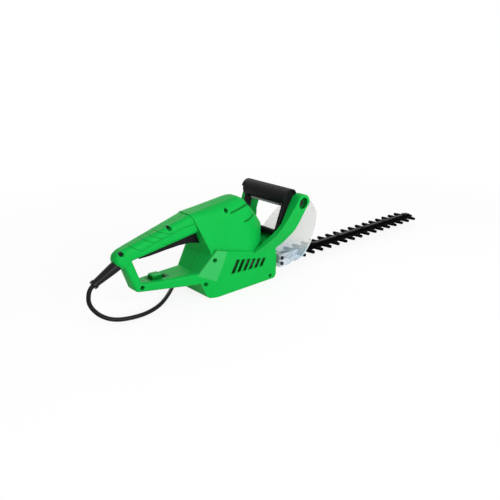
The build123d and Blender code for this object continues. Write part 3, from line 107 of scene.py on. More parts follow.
def supply_cord():
    """Round mains lead on one smooth curve from its boot to its plug."""
    curve = bpy.data.curves.new("supply_cord", "CURVE")
    curve.dimensions = "3D"
    spline = curve.splines.new("NURBS")
    spline.points.add(len(CORD_ROUTE) - 1)
    for point, place in zip(spline.points, CORD_ROUTE):
        point.co = (*place, 1)
        point.radius = CORD_DIAMETER / 2
    spline.order_u = 3
    spline.use_endpoint_u = True
    spline.resolution_u = 10
    curve.bevel_depth = 1       # each point's radius is the cord's own, in metres
    curve.bevel_resolution = 6
    curve.use_fill_caps = True
    cord = bpy.data.objects.new("supply_cord", curve)
    scene.collection.objects.link(cord)
    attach(cord, "housing")
    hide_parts("power_cord")
    return cord


cord = supply_cord()


# Springs over the front handle's switch bar

SPRING_R = 0.0021
SPRING_TURNS = 4
SPRING_STEPS = 18                          # to a turn
SPRING_LEAN = math.atan2(0.019, 0.061)     # the loop's lean, forward of upright
WIRE_R = 0.0003
WIRE_SIDES = 8


def bar_springs():
    """Two wound springs between the switch bar and the handle's hollow top, fixed to the housing; on the real tool
    they shorten as the bar is pulled.
    """
    low, high = (Vector(corner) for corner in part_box("bar_springs"))
    middle = (low + high) / 2
    aside = high.y - SPRING_R - 2 * WIRE_R
    tall = (high.z - low.z) / math.cos(SPRING_LEAN) - (high.x - low.x) * math.sin(SPRING_LEAN)
    reach = tall - 2 * WIRE_R
    bpy.ops.object.select_all(action="DESELECT")
    bpy.ops.mesh.primitive_circle_add(vertices=WIRE_SIDES, radius=WIRE_R, location=(SPRING_R, 0, -reach / 2),
                                      rotation=(math.pi / 2, 0, 0))
    springs = bpy.context.object
    springs.name = "wound_bar_springs"
    bpy.ops.object.transform_apply(location=True, rotation=True)
    coil = springs.modifiers.new("coil", "SCREW")
    coil.angle = 2 * math.pi
    coil.screw_offset = reach / SPRING_TURNS
    coil.iterations = SPRING_TURNS
    coil.steps = SPRING_STEPS
    bpy.ops.object.modifier_apply(modifier="coil")
    bpy.ops.object.mode_set(mode="EDIT")
    bpy.ops.mesh.select_all(action="SELECT")
    bpy.ops.mesh.fill_holes(sides=WIRE_SIDES)
    bpy.ops.mesh.select_all(action="SELECT")
    bpy.ops.mesh.normals_make_consistent(inside=False)
    bpy.ops.transform.rotate(value=-SPRING_LEAN, orient_axis="Y", center_override=(0, 0, 0))
    bpy.ops.transform.translate(value=(middle.x, -aside, middle.z))
    bpy.ops.mesh.duplicate()
    bpy.ops.transform.translate(value=(0, 2 * aside, 0))
    bpy.ops.object.mode_set(mode="OBJECT")
    bpy.ops.object.shade_smooth()
    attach(springs, "housing")
    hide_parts("bar_springs")
    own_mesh(springs)
    return springs


springs = bar_springs()


# Web under the front handle

SADDLE_X = (-0.1215, -0.0965)
SADDLE_HALF_W = 0.0378
SADDLE_FOOT_Z = 0.054
SADDLE_TOP_Z = (0.0690, 0.0772)      # at its rear and at its front
SADDLE_RIM = 0.0030
SADDLE_DISH = 0.0010
SADDLE_EDGE_R = 0.0012
NEAR = 0.001                         # how close to an edge a point counts as on it


def select_points(piece, wanted):
    """In edit mode, select the points of a piece whose place is wanted."""
    bpy.ops.mesh.select_mode(type="VERT")
    bpy.ops.mesh.select_all(action="DESELECT")
    bpy.ops.object.mode_set(mode="OBJECT")
    for vertex in piece.data.vertices:
        vertex.select = wanted(vertex.co)
    bpy.ops.object.mode_set(mode="EDIT")


def handle_saddle():
    """Moulded web between the arms' feet, dished on top and rising forward to the front handle's lower bar."""
    rear, front = SADDLE_X
    rear_z, front_z = SADDLE_TOP_Z
    middle = ((rear + front) / 2, 0, (SADDLE_FOOT_Z + front_z) / 2)
    size = (front - rear, 2 * SADDLE_HALF_W, front_z - SADDLE_FOOT_Z)
    bpy.ops.object.select_all(action="DESELECT")
    bpy.ops.mesh.primitive_cube_add(size=1, location=middle, scale=size)
    saddle = bpy.context.object
    saddle.name = "handle_saddle"
    bpy.ops.object.transform_apply(location=True, rotation=True, scale=True)
    bpy.ops.object.mode_set(mode="EDIT")
    select_points(saddle, lambda at: at.z > front_z - NEAR and at.x < rear + NEAR)
    bpy.ops.transform.translate(value=(0, 0, rear_z - front_z))
    select_points(saddle, lambda at: at.z > rear_z - NEAR)
    bpy.ops.mesh.inset(thickness=SADDLE_RIM, depth=-SADDLE_DISH)
    bpy.ops.mesh.select_all(action="SELECT")
    bpy.ops.mesh.normals_make_consistent(inside=False)
    bpy.ops.object.mode_set(mode="OBJECT")
    rounded = saddle.modifiers.new("rounded", "BEVEL")
    rounded.width = SADDLE_EDGE_R
    rounded.segments = 3
    bpy.ops.object.modifier_apply(modifier="rounded")
    bpy.ops.object.shade_smooth()
    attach(saddle, "housing")
    return saddle


saddle = handle_saddle()


# Nodes that the finishes are made of


def feed(tree, socket, value):
    """Give a socket another socket's value, or a number, colour or vector of its own."""
    if isinstance(value, bpy.types.NodeSocket):
        tree.links.new(value, socket)
    elif socket.type == "RGBA":
        socket.default_value = (*value, 1)
    else:
        socket.default_value = value


def math_node(tree, operation, *values):
    """Result of a sum on sockets or numbers."""
    node = tree.nodes.new("ShaderNodeMath")
    node.operation = operation
    for socket, value in zip(node.inputs, values):
        feed(tree, socket, value)
    return node.outputs["Value"]


def vector_node(tree, operation, *values):
    """Result of a sum on vectors: a number for a length, a distance or a dot product, else a vector."""
    node = tree.nodes.new("ShaderNodeVectorMath")
    node.operation = operation
    for socket, value in zip(node.inputs, values):
        feed(tree, socket, value)
    gives_number = operation in ("LENGTH", "DISTANCE", "DOT_PRODUCT")
    return node.outputs["Value" if gives_number else "Vector"]


def product(tree, *masks):
    """All masks multiplied."""
    total = masks[0]
    for mask in masks[1:]:
        total = math_node(tree, "MULTIPLY", total, mask)
    return total


def greatest(tree, *masks):
    """The greatest of some masks."""
    most = masks[0]
    for mask in masks[1:]:
        most = math_node(tree, "MAXIMUM", most, mask)
    return most


def ramp(tree, value, start, end, low, high):
    """Smooth step from low to high as the value goes from start to end."""
    node = tree.nodes.new("ShaderNodeMapRange")
    node.interpolation_type = "SMOOTHSTEP"
    feed(tree, node.inputs["Value"], value)
    for label, number in (("From Min", start), ("From Max", end), ("To Min", low), ("To Max", high)):
        feed(tree, node.inputs[label], number)
    return node.outputs["Result"]


def within(tree, value, low, high, soft):
    """Mask of the values between two limits, with a soft edge inside each."""
    return product(tree, ramp(tree, value, low, low + soft, 0.0, 1.0), ramp(tree, value, high - soft, high, 1.0, 0.0))


def noise(tree, scale, detail):
    """Noise fixed to the piece."""
    node = tree.nodes.new("ShaderNodeTexNoise")
    feed(tree, node.inputs["Vector"], tree.nodes.new("ShaderNodeTexCoord").outputs["Object"])
    feed(tree, node.inputs["Scale"], scale)
    feed(tree, node.inputs["Detail"], detail)
    return node.outputs["Fac"]


def tool_place(tree):
    """Where a point is on the tool: along it, up it, aside of its middle plane, and in the side view."""
    place = tree.nodes.new("ShaderNodeTexCoord").outputs["Object"]
    parts = tree.nodes.new("ShaderNodeSeparateXYZ")
    feed(tree, parts.inputs["Vector"], place)
    return SimpleNamespace(
        x=parts.outputs["X"], z=parts.outputs["Z"], aside=math_node(tree, "ABSOLUTE", parts.outputs["Y"]),
        side_view=vector_node(tree, "MULTIPLY", place, (1, 0, 1)))


def mixed(tree, mask, first, second):
    """Colour between two others, by a mask."""
    mix = tree.nodes.new("ShaderNodeMix")
    mix.data_type = "RGBA"
    colour_a, colour_b = mix.inputs[6], mix.inputs[7]
    feed(tree, mix.inputs["Factor"], mask)
    feed(tree, colour_a, first)
    feed(tree, colour_b, second)
    return mix.outputs[2]


# Shared finishes, as node groups


def new_group(name, inputs, outputs):
    """Empty shader group with the named numbers in and out; gives its inside ends."""
    group = bpy.data.node_groups.new(name, "ShaderNodeTree")
    for label, value in inputs.items():
        socket = group.interface.new_socket(label, in_out="INPUT", socket_type="NodeSocketFloat")
        socket.default_value = value
    for label in outputs:
        group.interface.new_socket(label, in_out="OUTPUT", socket_type="NodeSocketFloat")
    return group, group.nodes.new("NodeGroupInput").outputs, group.nodes.new("NodeGroupOutput").inputs


GRAIN_DETAIL = 3
CLOUD_SCALE = 26
CLOUD_DETAIL = 4


def moulded_grain_group():
    """Fine spark-eroded grain with slow drifts of gloss, as on moulded plastic."""
    group, given, out = new_group("moulded_grain", {"Grain Size": 0.0007, "Roughness": 0.45, "Drift": 0.1},
                                  ("Roughness", "Height", "Cloud"))
    grain = noise(group, math_node(group, "DIVIDE", 1.0, given["Grain Size"]), GRAIN_DETAIL)
    cloud = noise(group, CLOUD_SCALE, CLOUD_DETAIL)
    drift = product(group, math_node(group, "SUBTRACT", cloud, 0.5), given["Drift"])
    feed(group, out["Roughness"], math_node(group, "ADD", given["Roughness"], drift))
    feed(group, out["Height"], grain)
    feed(group, out["Cloud"], cloud)
    return group


EDGE_GAIN = 6.0
RUB_SCALE = 140
RUB_DETAIL = 5


def edge_rub_group():
    """Mask of the outer edges, where handling rubs a surface, and where the green shell's lighter edge colour is also
    a painted highlight.
    """
    group, given, out = new_group("edge_rub", {"Width": 0.0012, "Breakup": 0.5}, ("Mask",))
    rounded = group.nodes.new("ShaderNodeBevel")
    rounded.samples = 4
    feed(group, rounded.inputs["Radius"], given["Width"])
    flat = group.nodes.new("ShaderNodeNewGeometry").outputs["Normal"]
    turned = vector_node(group, "DOT_PRODUCT", rounded.outputs["Normal"], flat)
    edge = product(group, math_node(group, "SUBTRACT", 1.0, turned), EDGE_GAIN)
    gaps = product(group, given["Breakup"], 0.5)
    patches = math_node(group, "SUBTRACT", noise(group, RUB_SCALE, RUB_DETAIL), gaps)
    mask = product(group, edge, patches)
    mask.node.use_clamp = True
    feed(group, out["Mask"], mask)
    return group


WAVE_SPACING = 0.314            # between the lines of a wave pattern at a scale of 1


def tool_lines_group():
    """Fine parallel lines left by grinding, turning or winding, along one axis."""
    group, given, out = new_group("tool_lines", {"Line Spacing": 0.0008, "Wander": 1.5}, ("Fac",))
    lines = group.nodes.new("ShaderNodeTexWave")
    lines.bands_direction = "Z"
    feed(group, lines.inputs["Vector"], group.nodes.new("ShaderNodeTexCoord").outputs["Object"])
    feed(group, lines.inputs["Scale"], math_node(group, "DIVIDE", WAVE_SPACING, given["Line Spacing"]))
    feed(group, lines.inputs["Distortion"], given["Wander"])
    feed(group, lines.inputs["Detail"], 2)
    feed(group, lines.inputs["Detail Scale"], 3)
    feed(group, out["Fac"], lines.outputs["Fac"])
    return group


# The shell's moulded lines. Points are x and z in the side view, and a stroke is its two ends. Each _SHADE value is
# how dark painted shade makes a line or recess, and SEAM_SHADE darkens the joint of the halves.

SHOULDER_GROOVES = [
    ((-0.1914, 0.1318), (-0.1596, 0.1391)), ((-0.1596, 0.1391), (-0.1530, 0.1388)),
    ((-0.1640, 0.1134), (-0.1545, 0.1148)), ((-0.1545, 0.1148), (-0.1400, 0.1208)),
    ((-0.2008, 0.1398), (-0.1975, 0.1365)),
]
GROOVE_HALF_W = 0.0029
GROOVE_SHADE = 0.9
GRIP_CREASES = [
    ((-0.3670, 0.1100), (-0.3496, 0.0995)), ((-0.3445, 0.1155), (-0.3272, 0.1081)),
    ((-0.3330, 0.1190), (-0.3157, 0.1126)), ((-0.3195, 0.1224), (-0.3085, 0.1187)),
    ((-0.3085, 0.1187), (-0.2946, 0.1167)), ((-0.3496, 0.0995), (-0.3272, 0.1081)),
    ((-0.3272, 0.1081), (-0.2946, 0.1167)), ((-0.2946, 0.1167), (-0.2857, 0.1198)),
    ((-0.2857, 0.1198), (-0.2585, 0.1245)),
]
CREASE_HALF_W = 0.0011
CREASE_SHADE = 0.45
SEAM_HALF_W = 0.0003
SEAM_SHADE = 0.7
LOCK_SLOT_X = (-0.3352, -0.2978)
LOCK_SLOT_HALF_W = 0.0086
LOCK_SLOT_Z = (0.0440, 0.0520)
LOCK_SLOT_SHADE = 0.85
LOCK_SLOT_SOFT = 0.0006
BODY_HALF_W = 0.0415
SUNK = (0.0012, 0.0003)         # depths under a side where a recess's painted shade is full, and where it has not yet started
VENTS_X = (-0.206, -0.122)
VENTS_Z = (0.0300, 0.0570)
VENTS_SOFT = 0.001
VENT_LEAN = 0.55                # forward run per unit of height
VENT_PITCH = 0.01293            # along the side, measured on the lean
VENT_START = -0.21705           # leaning line of the rear slot's middle, carried down to the floor
VENT_COUNT = 6
VENT_HALF_W = 0.0047            # of a slot with its band of painted shade
VENT_FOOT = (0.0335, -0.0464)   # height at the rear slot, and its rise along the row
VENT_TOP = (0.0560, -0.170)
VENT_ASIDE = (0.036, 0.037)     # the painted shade round the slots starts this far from the middle plane
CHAMFER_SHADE = 0.85
CHAMFER_SOFT = 0.0005
CHAMFER_END_SOFT = 0.0004
ARM_END = (-0.062, 0.134)       # middle of the round recess in each arm
ARM_END_HALF_W = 0.066
ARM_RECESS_EDGE = (0.0102, 0.0106)
ARM_RECESS_SHADE = 0.8
FACET_FRONT = (-0.2132, 0.0682)     # top of the rear facet's front edge
FACET_LEAN = 0.408                  # forward run of that edge per unit of height
FACET_FOOT = (-0.2296, 0.0280)      # front of the rear facet's lower edge
FACET_FOOT_RISE = -0.422            # of that edge, per unit of length
FACET_SOFT = 0.0006
FACET_REAR_X = (-0.2580, -0.2570)
FACET_SPREAD = (0.12583, 0.3816)    # half width of the lower body along its facets: at x = 0, and its growth with x
FACET_SKIN = (-0.0025, -0.0018)     # from that half width, where the facet's own surface starts


def side_point(point):
    """A point of the side view as a vector on the middle plane."""
    x, z = point
    return Vector((x, 0, z))


def stroke_distance(tree, at, start, end):
    """Distance in the side view from a point to a straight stroke."""
    start = side_point(start)
    run = side_point(end) - start
    from_start = vector_node(tree, "SUBTRACT", at.side_view, start)
    share = vector_node(tree, "DOT_PRODUCT", from_start, run / run.length_squared)
    share = math_node(tree, "MINIMUM", math_node(tree, "MAXIMUM", share, 0.0), 1.0)
    nearest = vector_node(tree, "MULTIPLY", share, run)
    return vector_node(tree, "DISTANCE", from_start, nearest)


def strokes(tree, at, ends, half_w, shade):
    """Lines along some strokes, darkest in their middle: the darkness is painted shade."""
    near = None
    for start, end in ends:
        gap = stroke_distance(tree, at, start, end)
        near = gap if near is None else math_node(tree, "MINIMUM", near, gap)
    return ramp(tree, near, 0.0, half_w, shade, 0.0)


def lock_slot_rim(tree, at):
    """Rim of the lock slide's slot in the lower bar's top, darkened with painted shade."""
    across = ramp(tree, at.aside, LOCK_SLOT_HALF_W - LOCK_SLOT_SOFT, LOCK_SLOT_HALF_W, LOCK_SLOT_SHADE, 0.0)
    return product(tree, across, within(tree, at.x, *LOCK_SLOT_X, LOCK_SLOT_SOFT),
                   within(tree, at.z, *LOCK_SLOT_Z, LOCK_SLOT_SOFT))


def sunk_under(tree, at, half_w):
    """Mask of what lies under the side whose half width is given."""
    dark, clear = SUNK
    return ramp(tree, at.aside, half_w - dark, half_w - clear, 1.0, 0.0)


def vent_wall_painted_shade(tree, at):
    """Painted shade on the walls of the vent slots and on what lies behind them inside the shell."""
    return product(tree, within(tree, at.x, *VENTS_X, VENTS_SOFT), within(tree, at.z, *VENTS_Z, VENTS_SOFT),
                   sunk_under(tree, at, BODY_HALF_W))


def vent_slot_painted_shade(tree, at):
    """Painted shade in a band round each leaning vent slot, standing for a chamfer."""
    leaning = math_node(tree, "SUBTRACT", at.x, math_node(tree, "MULTIPLY", at.z, VENT_LEAN))
    row = math_node(tree, "SUBTRACT", leaning, VENT_START)
    row_end = (VENT_COUNT - 0.5) * VENT_PITCH
    from_middle = math_node(tree, "PINGPONG", row, VENT_PITCH / 2)
    masks = [
        ramp(tree, from_middle, VENT_HALF_W - CHAMFER_SOFT, VENT_HALF_W, CHAMFER_SHADE, 0.0),
        ramp(tree, row, -VENT_HALF_W - CHAMFER_SOFT, -VENT_HALF_W, 0.0, 1.0),
        ramp(tree, row, row_end, row_end + CHAMFER_SOFT, 1.0, 0.0),
        ramp(tree, at.aside, *VENT_ASIDE, 0.0, 1.0),
    ]
    for (height, rise), low, high in ((VENT_FOOT, 0.0, 1.0), (VENT_TOP, 1.0, 0.0)):
        above = math_node(tree, "SUBTRACT", at.z, math_node(tree, "MULTIPLY", row, rise))
        masks.append(ramp(tree, above, height - CHAMFER_END_SOFT, height + CHAMFER_END_SOFT, low, high))
    return product(tree, *masks)


def arm_recess_painted_shade(tree, at):
    """Painted shade in the round recess for the handle's screw in each arm's end."""
    from_middle = vector_node(tree, "DISTANCE", at.side_view, side_point(ARM_END))
    return product(tree, ramp(tree, from_middle, *ARM_RECESS_EDGE, ARM_RECESS_SHADE, 0.0),
                   sunk_under(tree, at, ARM_END_HALF_W))


def rear_facet(tree, at):
    """Facet at the rear of the lower body's side, on both sides, where a paler green is painted as a highlight."""
    from_front = vector_node(tree, "SUBTRACT", at.side_view, side_point(FACET_FRONT))
    ahead = vector_node(tree, "DOT_PRODUCT", from_front, (1, 0, -FACET_LEAN))
    from_foot = vector_node(tree, "SUBTRACT", at.side_view, side_point(FACET_FOOT))
    above = vector_node(tree, "DOT_PRODUCT", from_foot, (-FACET_FOOT_RISE, 0, 1))
    at_origin, growth = FACET_SPREAD
    half_w = math_node(tree, "ADD", math_node(tree, "MULTIPLY", at.x, growth), at_origin)
    half_w = math_node(tree, "MINIMUM", half_w, BODY_HALF_W)
    beyond = math_node(tree, "SUBTRACT", at.aside, half_w)
    return product(tree, ramp(tree, ahead, -FACET_SOFT, FACET_SOFT, 1.0, 0.0),
                   ramp(tree, above, -FACET_SOFT, FACET_SOFT, 0.0, 1.0),
                   ramp(tree, beyond, *FACET_SKIN, 0.0, 1.0), ramp(tree, at.x, *FACET_REAR_X, 0.0, 1.0))


def shell_carving_group():
    """Moulded lines of the shell: shoulder grooves, the grip's creases, the seam of its halves and deep places. Shade
    is painted shade in all but the seam, which is a dark joint; Facet is where a painted highlight goes.
    """
    group, given, out = new_group("shell_carving", {"Depth": 1.0}, ("Shade", "Height", "Facet"))
    at = tool_place(group)
    grooves = strokes(group, at, SHOULDER_GROOVES, GROOVE_HALF_W, GROOVE_SHADE)
    creases = strokes(group, at, GRIP_CREASES, CREASE_HALF_W, CREASE_SHADE)
    seam = ramp(group, at.aside, SEAM_HALF_W / 2, SEAM_HALF_W, SEAM_SHADE, 0.0)
    carved = greatest(group, grooves, seam, creases, lock_slot_rim(group, at))
    carved = product(group, carved, given["Depth"])
    # Painted shade in the vent slots, round them and in the arm recesses.
    deep = greatest(group, vent_wall_painted_shade(group, at), vent_slot_painted_shade(group, at), arm_recess_painted_shade(group, at))
    feed(group, out["Shade"], greatest(group, carved, deep))
    feed(group, out["Height"], math_node(group, "SUBTRACT", 1.0, carved))
    feed(group, out["Facet"], rear_facet(group, at))
    return group


moulded_grain = moulded_grain_group()
edge_rub = edge_rub_group()
tool_lines = tool_lines_group()
shell_carving = shell_carving_group()


# Materials

GRAIN_DEPTH = 0.0002


def use_group(tree, group, **values):
    """Place a shared finish in a material, with values of its own."""
    node = tree.nodes.new("ShaderNodeGroup")
    node.node_tree = group
    for label, value in values.items():
        node.inputs[label.replace("_", " ")].default_value = value
    return node.outputs


def new_material(name):
    """Material with its tree and its shader."""
    material = bpy.data.materials.new(name)
    material.use_nodes = True
    return material, material.node_tree, material.node_tree.nodes["Principled BSDF"]


def add_relief(tree, shader, height, strength, depth=GRAIN_DEPTH):
    """Relief on a shader, over the relief that it has."""
    bump = tree.nodes.new("ShaderNodeBump")
    feed(tree, bump.inputs["Strength"], strength)
    feed(tree, bump.inputs["Distance"], depth)
    feed(tree, bump.inputs["Height"], height)
    normal = shader.inputs["Normal"]
    if normal.is_linked:
        feed(tree, bump.inputs["Normal"], normal.links[0].from_socket)
    feed(tree, normal, bump.outputs["Normal"])


def add_tint(tree, shader, mask, colour):
    """Turn a shader's colour to another one by a mask."""
    base = shader.inputs["Base Color"]
    feed(tree, base, mixed(tree, mask, base.links[0].from_socket, colour))


def moulded(name, colour, shade, edge_wear_and_highlight, roughness, drift, grain, relief, breakup, rub=0.0012, sheen=0.2, metal=0.0):
    """Moulded, cast or coated surface: two near tones in clouds, rubbed edges in a lighter colour that on the green
    shell is also a painted highlight, fine grain in relief and gloss.
    """
    material, tree, shader = new_material(name)
    feed(tree, shader.inputs["Specular IOR Level"], sheen)
    feed(tree, shader.inputs["Metallic"], metal)
    surface = use_group(tree, moulded_grain, Grain_Size=grain, Roughness=roughness, Drift=drift)
    rubbed = use_group(tree, edge_rub, Width=rub, Breakup=breakup)
    feed(tree, shader.inputs["Base Color"], mixed(tree, surface["Cloud"], shade, colour))
    add_tint(tree, shader, rubbed["Mask"], edge_wear_and_highlight)
    feed(tree, shader.inputs["Roughness"], surface["Roughness"])
    add_relief(tree, shader, surface["Height"], relief)
    return material, tree, shader


def lined_metal(name, colour, shade, roughness, spacing, relief, wander=1.5):
    """Metal with the fine lines of its making."""
    material, tree, shader = new_material(name)
    feed(tree, shader.inputs["Metallic"], 1.0)
    lines = use_group(tree, tool_lines, Line_Spacing=spacing, Wander=wander)
    surface = use_group(tree, moulded_grain, Grain_Size=0.0005, Roughness=roughness, Drift=0.25)
    feed(tree, shader.inputs["Base Color"], mixed(tree, lines["Fac"], shade, colour))
    feed(tree, shader.inputs["Roughness"], surface["Roughness"])
    add_relief(tree, shader, lines["Fac"], relief)
    return material


GUARD_FOOT_Z = (0.030, 0.062)        # where the painted blue-grey shade at the sheet's foot fades to milky
GUARD_FOOT_PAINTED_SHADE = (0.42, 0.60, 0.78)
GUARD_EARS_X = (-0.062, -0.050)      # where the thick ears end and the thin sheet starts
GUARD_EARS_PAINTED_SHADE = (0.25, 0.35, 0.44)
GUARD_SHADE_NOISE_SCALE = 160
GUARD_SHADE_NOISE_DETAIL = 4
GUARD_DENSITY = 0.46
GUARD_EDGE_DENSITY = 0.2
GUARD_EDGE_W = 0.004


def clear_guard():
    """Milky clear sheet, cloudier at its edges, with painted blue-grey shade at its foot, darker at the ears and
    broken up by noise.
    """
    material, tree, shader = moulded(
        "clear_guard", colour=(0.90, 0.88, 0.87), shade=(0.85, 0.835, 0.83), edge_wear_and_highlight=(0.92, 0.92, 0.92),
        roughness=0.22, drift=0.12, grain=0.0004, relief=0.04, breakup=0.1)
    at = tool_place(tree)
    # Painted shade: the sheet's foot, where the gear case and blade stand behind it, tinted blue-grey in noisy
    # patches.
    foot_shade_noise = ramp(tree, noise(tree, GUARD_SHADE_NOISE_SCALE, GUARD_SHADE_NOISE_DETAIL), 0.3, 0.7, 0.6, 1.0)
    foot = product(tree, ramp(tree, at.z, *GUARD_FOOT_Z, 1.0, 0.0), foot_shade_noise)
    ears = ramp(tree, at.x, *GUARD_EARS_X, 1.0, 0.0)
    add_tint(tree, shader, foot, mixed(tree, ears, GUARD_FOOT_PAINTED_SHADE, GUARD_EARS_PAINTED_SHADE))
    edges = use_group(tree, edge_rub, Width=GUARD_EDGE_W, Breakup=0.0)
    denser = product(tree, edges["Mask"], GUARD_EDGE_DENSITY)
    feed(tree, shader.inputs["Alpha"], math_node(tree, "ADD", denser, GUARD_DENSITY))
    return material


# A paler green painted on the rear facets as a highlight.
FACET_HIGHLIGHT_GREEN = (0.030, 0.365, 0.085)
# Painted shade in the carved lines, vent slots and arm recesses.
PAINTED_SHADE_GREEN = (0.001, 0.090, 0.008)
CARVING_RELIEF = 0.8
CARVING_DEPTH = 0.0012


def green_shell():
    """Satin green moulding, paler on its rear facets by a painted highlight and darker with painted shade in the
    depth of its carved lines, vent slots and arm recesses.
    """
    # The lighter edge colour is edge wear, raised to also paint an edge highlight.
    material, tree, shader = moulded(
        "green_shell", colour=(0.003, 0.355, 0.050), shade=(0.002, 0.310, 0.042), edge_wear_and_highlight=(0.040, 0.46, 0.12),
        roughness=0.46, drift=0.16, grain=0.0008, relief=0.10, breakup=0.6, sheen=0.05)
    carving = use_group(tree, shell_carving, Depth=1.0)
    # Painted highlight: the rear facets turn paler.
    add_tint(tree, shader, carving["Facet"], FACET_HIGHLIGHT_GREEN)
    # Painted shade: carved lines, vent slots and arm recesses turn dark green; the seam of the halves is a dark
    # joint.
    add_tint(tree, shader, carving["Shade"], PAINTED_SHADE_GREEN)
    add_relief(tree, shader, carving["Height"], CARVING_RELIEF, CARVING_DEPTH)
    return material


RIDGE_EDGE = (0.0018, 0.0028)        # from the middle plane
RIDGE_FOOT_Z = (0.0205, 0.0225)
RIDGE_SHARE = 0.8
RIDGE_HIGHLIGHT_GREY = (0.105, 0.107, 0.110)


def blade_steel():
    """Black oxide on the teeth, with a painted grey highlight along the guide bar's ridge."""
    material, tree, shader = moulded(
        "blade_steel", colour=(0.0022, 0.0023, 0.0026), shade=(0.0014, 0.0014, 0.0016), edge_wear_and_highlight=(0.02, 0.021, 0.022),
        roughness=0.42, drift=0.25, grain=0.0006, relief=0.12, breakup=0.2, rub=0.0007, sheen=0.004)
    at = tool_place(tree)
    # Painted highlight: the top of the guide bar's ridge turns grey.
    ridge = product(tree, ramp(tree, at.aside, *RIDGE_EDGE, 1.0, 0.0),
                    ramp(tree, at.z, *RIDGE_FOOT_Z, 0.0, RIDGE_SHARE))
    add_tint(tree, shader, ridge, RIDGE_HIGHLIGHT_GREY)
    return material


MOULDED_SLOTS = {
    "black_plastic": dict(
        colour=(0.0048, 0.0048, 0.0052), shade=(0.0032, 0.0032, 0.0036), edge_wear_and_highlight=(0.020, 0.020, 0.021),
        roughness=0.50, drift=0.2, grain=0.0007, relief=0.16, breakup=0.5, sheen=0.10),
    "grey_plastic": dict(
        colour=(0.25, 0.255, 0.26), shade=(0.20, 0.205, 0.21), edge_wear_and_highlight=(0.36, 0.36, 0.37),
        roughness=0.42, drift=0.15, grain=0.0007, relief=0.10, breakup=0.5),
    "black_screw": dict(
        colour=(0.007, 0.007, 0.0075), shade=(0.005, 0.005, 0.005), edge_wear_and_highlight=(0.05, 0.05, 0.05),
        roughness=0.40, drift=0.2, grain=0.0004, relief=0.10, breakup=0.3, rub=0.0004, sheen=0.15),
    "aluminium": dict(
        colour=(0.21, 0.215, 0.22), shade=(0.14, 0.143, 0.147), edge_wear_and_highlight=(0.42, 0.42, 0.43),
        roughness=0.52, drift=0.25, grain=0.0012, relief=0.3, breakup=0.3, metal=1.0),
    "carbon": dict(
        colour=(0.035, 0.035, 0.037), shade=(0.02, 0.02, 0.02), edge_wear_and_highlight=(0.08, 0.08, 0.08),
        roughness=0.6, drift=0.2, grain=0.0004, relief=0.2, breakup=0.4),
    "cord_rubber": dict(
        colour=(0.0045, 0.0045, 0.005), shade=(0.003, 0.003, 0.003), edge_wear_and_highlight=(0.010, 0.010, 0.010),
        roughness=0.46, drift=0.2, grain=0.0009, relief=0.12, breakup=0.8, sheen=0.12),
    "boot_rubber": dict(
        colour=(0.006, 0.006, 0.0062), shade=(0.004, 0.004, 0.004), edge_wear_and_highlight=(0.02, 0.02, 0.02),
        roughness=0.42, drift=0.2, grain=0.0008, relief=0.10, breakup=0.4, sheen=0.12),
}
METAL_SLOTS = {
    "steel": dict(colour=(0.60, 0.60, 0.61), shade=(0.50, 0.50, 0.51), roughness=0.30, spacing=0.0006, relief=0.06),
    "lamination": dict(colour=(0.14, 0.14, 0.15), shade=(0.07, 0.07, 0.075), roughness=0.45, spacing=0.0010,
                       relief=0.5, wander=0.0),
    "copper": dict(colour=(0.74, 0.33, 0.15), shade=(0.42, 0.16, 0.07), roughness=0.34, spacing=0.0011,
                   relief=0.6, wander=0.6),
    "bronze": dict(colour=(0.70, 0.48, 0.24), shade=(0.58, 0.38, 0.18), roughness=0.36, spacing=0.0006, relief=0.08),
    "plug_pin_metal": dict(colour=(0.75, 0.74, 0.72), shade=(0.66, 0.65, 0.63), roughness=0.22, spacing=0.0005,
                           relief=0.05),
}

slot_finish = {"green_shell": green_shell(), "clear_guard": clear_guard(), "blade_steel": blade_steel()}
for slot, values in MOULDED_SLOTS.items():
    slot_finish[slot] = moulded(slot, **values)[0]
for slot, values in METAL_SLOTS.items():
    slot_finish[slot] = lined_metal(slot, **values)

WELD_WIDTH = 0.00001
CRISP_ANGLE = math.radians(32)


def dress_nodes():
    """Every CAD node gets its slot's finish and smooth curved faces with crisp edges."""
    for piece in frame["record"]["subparts"]:
        node = nodes[piece["node"]]
        node.data.materials.clear()
        node.data.materials.append(slot_finish[piece["material_slot"]])
        node.data.polygons.foreach_set("use_smooth", [True] * len(node.data.polygons))
        weld = node.modifiers.new("weld", "WELD")
        weld.merge_threshold = WELD_WIDTH
        crisp = node.modifiers.new("crisp", "EDGE_SPLIT")
        crisp.split_angle = CRISP_ANGLE
        flow = node.modifiers.new("flow", "WEIGHTED_NORMAL")
        flow.weight = 80
        flow.keep_sharp = True


dress_nodes()
cord.data.materials.append(slot_finish["cord_rubber"])
springs.data.materials.append(slot_finish["steel"])
saddle.data.materials.append(slot_finish["green_shell"])


# Floor, backdrop and light

FLOOR_HALF = 6.0
FLOOR_GREY = (0.86, 0.86, 0.86)
FLOOR_GLOW = 0.86           # share of plain white under the tool
SHADE_NEAR = 0.55           # from the origin, where the floor starts to fade to plain white
SHADE_FAR = 1.0
WORLD_LIGHT = 0.5
TOOL_MIDDLE = (-0.15, 0, 0.08)


def white_rays(tree):
    """Mask of the rays that show a plain white backdrop: the camera's, and those in gloss and in clear plastic."""
    rays = tree.nodes.new("ShaderNodeLightPath").outputs
    return greatest(tree, rays["Is Camera Ray"], rays["Is Glossy Ray"], rays["Is Transmission Ray"])


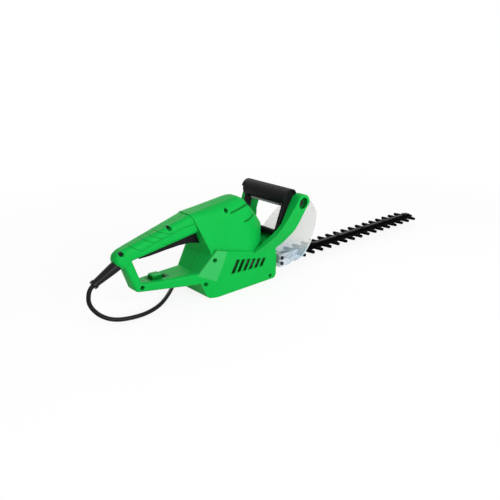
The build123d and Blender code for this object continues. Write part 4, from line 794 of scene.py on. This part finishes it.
def studio_floor():
    """White sheet that fades into the white backdrop and keeps the tool's soft shadow."""
    bpy.ops.object.select_all(action="DESELECT")
    bpy.ops.mesh.primitive_plane_add(size=2 * FLOOR_HALF, location=(0, 0, 0))
    floor = bpy.context.object
    floor.name = "studio_floor"
    material, tree, matt = new_material("studio_floor")
    feed(tree, matt.inputs["Base Color"], FLOOR_GREY)
    feed(tree, matt.inputs["Roughness"], 0.9)
    feed(tree, matt.inputs["Specular IOR Level"], 0.1)
    glow = tree.nodes.new("ShaderNodeEmission")
    feed(tree, glow.inputs["Strength"], 1.0)
    away = vector_node(tree, "LENGTH", tree.nodes.new("ShaderNodeTexCoord").outputs["Object"])
    both = tree.nodes.new("ShaderNodeMixShader")
    fade = ramp(tree, away, SHADE_NEAR, SHADE_FAR, FLOOR_GLOW, 1.0)
    feed(tree, both.inputs["Fac"], product(tree, white_rays(tree), fade))
    feed(tree, both.inputs[1], matt.outputs["BSDF"])
    feed(tree, both.inputs[2], glow.outputs["Emission"])
    feed(tree, tree.nodes["Material Output"].inputs["Surface"], both.outputs["Shader"])
    floor.data.materials.append(material)


def studio_world():
    """White to the camera, softer as light."""
    world = bpy.data.worlds.new("studio")
    scene.world = world
    world.use_nodes = True
    tree = world.node_tree
    backdrop = tree.nodes["Background"]
    feed(tree, backdrop.inputs["Color"], (1, 1, 1))
    whiter = product(tree, white_rays(tree), 1 - WORLD_LIGHT)
    feed(tree, backdrop.inputs["Strength"], math_node(tree, "ADD", whiter, WORLD_LIGHT))


def soft_lamp(name, place, target, size, power):
    """Square soft light aimed at a point."""
    lamp = bpy.data.lights.new(name, "AREA")
    lamp.shape = "SQUARE"
    lamp.size = size
    lamp.energy = power
    holder = bpy.data.objects.new(name, lamp)
    holder.location = place
    holder.rotation_mode = "QUATERNION"
    holder.rotation_quaternion = (Vector(target) - Vector(place)).to_track_quat("-Z", "Y")
    scene.collection.objects.link(holder)


studio_floor()
studio_world()
soft_lamp("key_light", (-0.2, -1.7, 0.75), TOOL_MIDDLE, 1.0, 32)
soft_lamp("top_light", (0.1, 0.1, 2.0), (-0.05, 0, 0.08), 1.6, 6)
soft_lamp("rear_light", (-1.8, -0.5, 0.7), TOOL_MIDDLE, 1.0, 3)
soft_lamp("left_fill", (0.3, 1.8, 0.8), (-0.1, 0, 0.08), 1.2, 12)
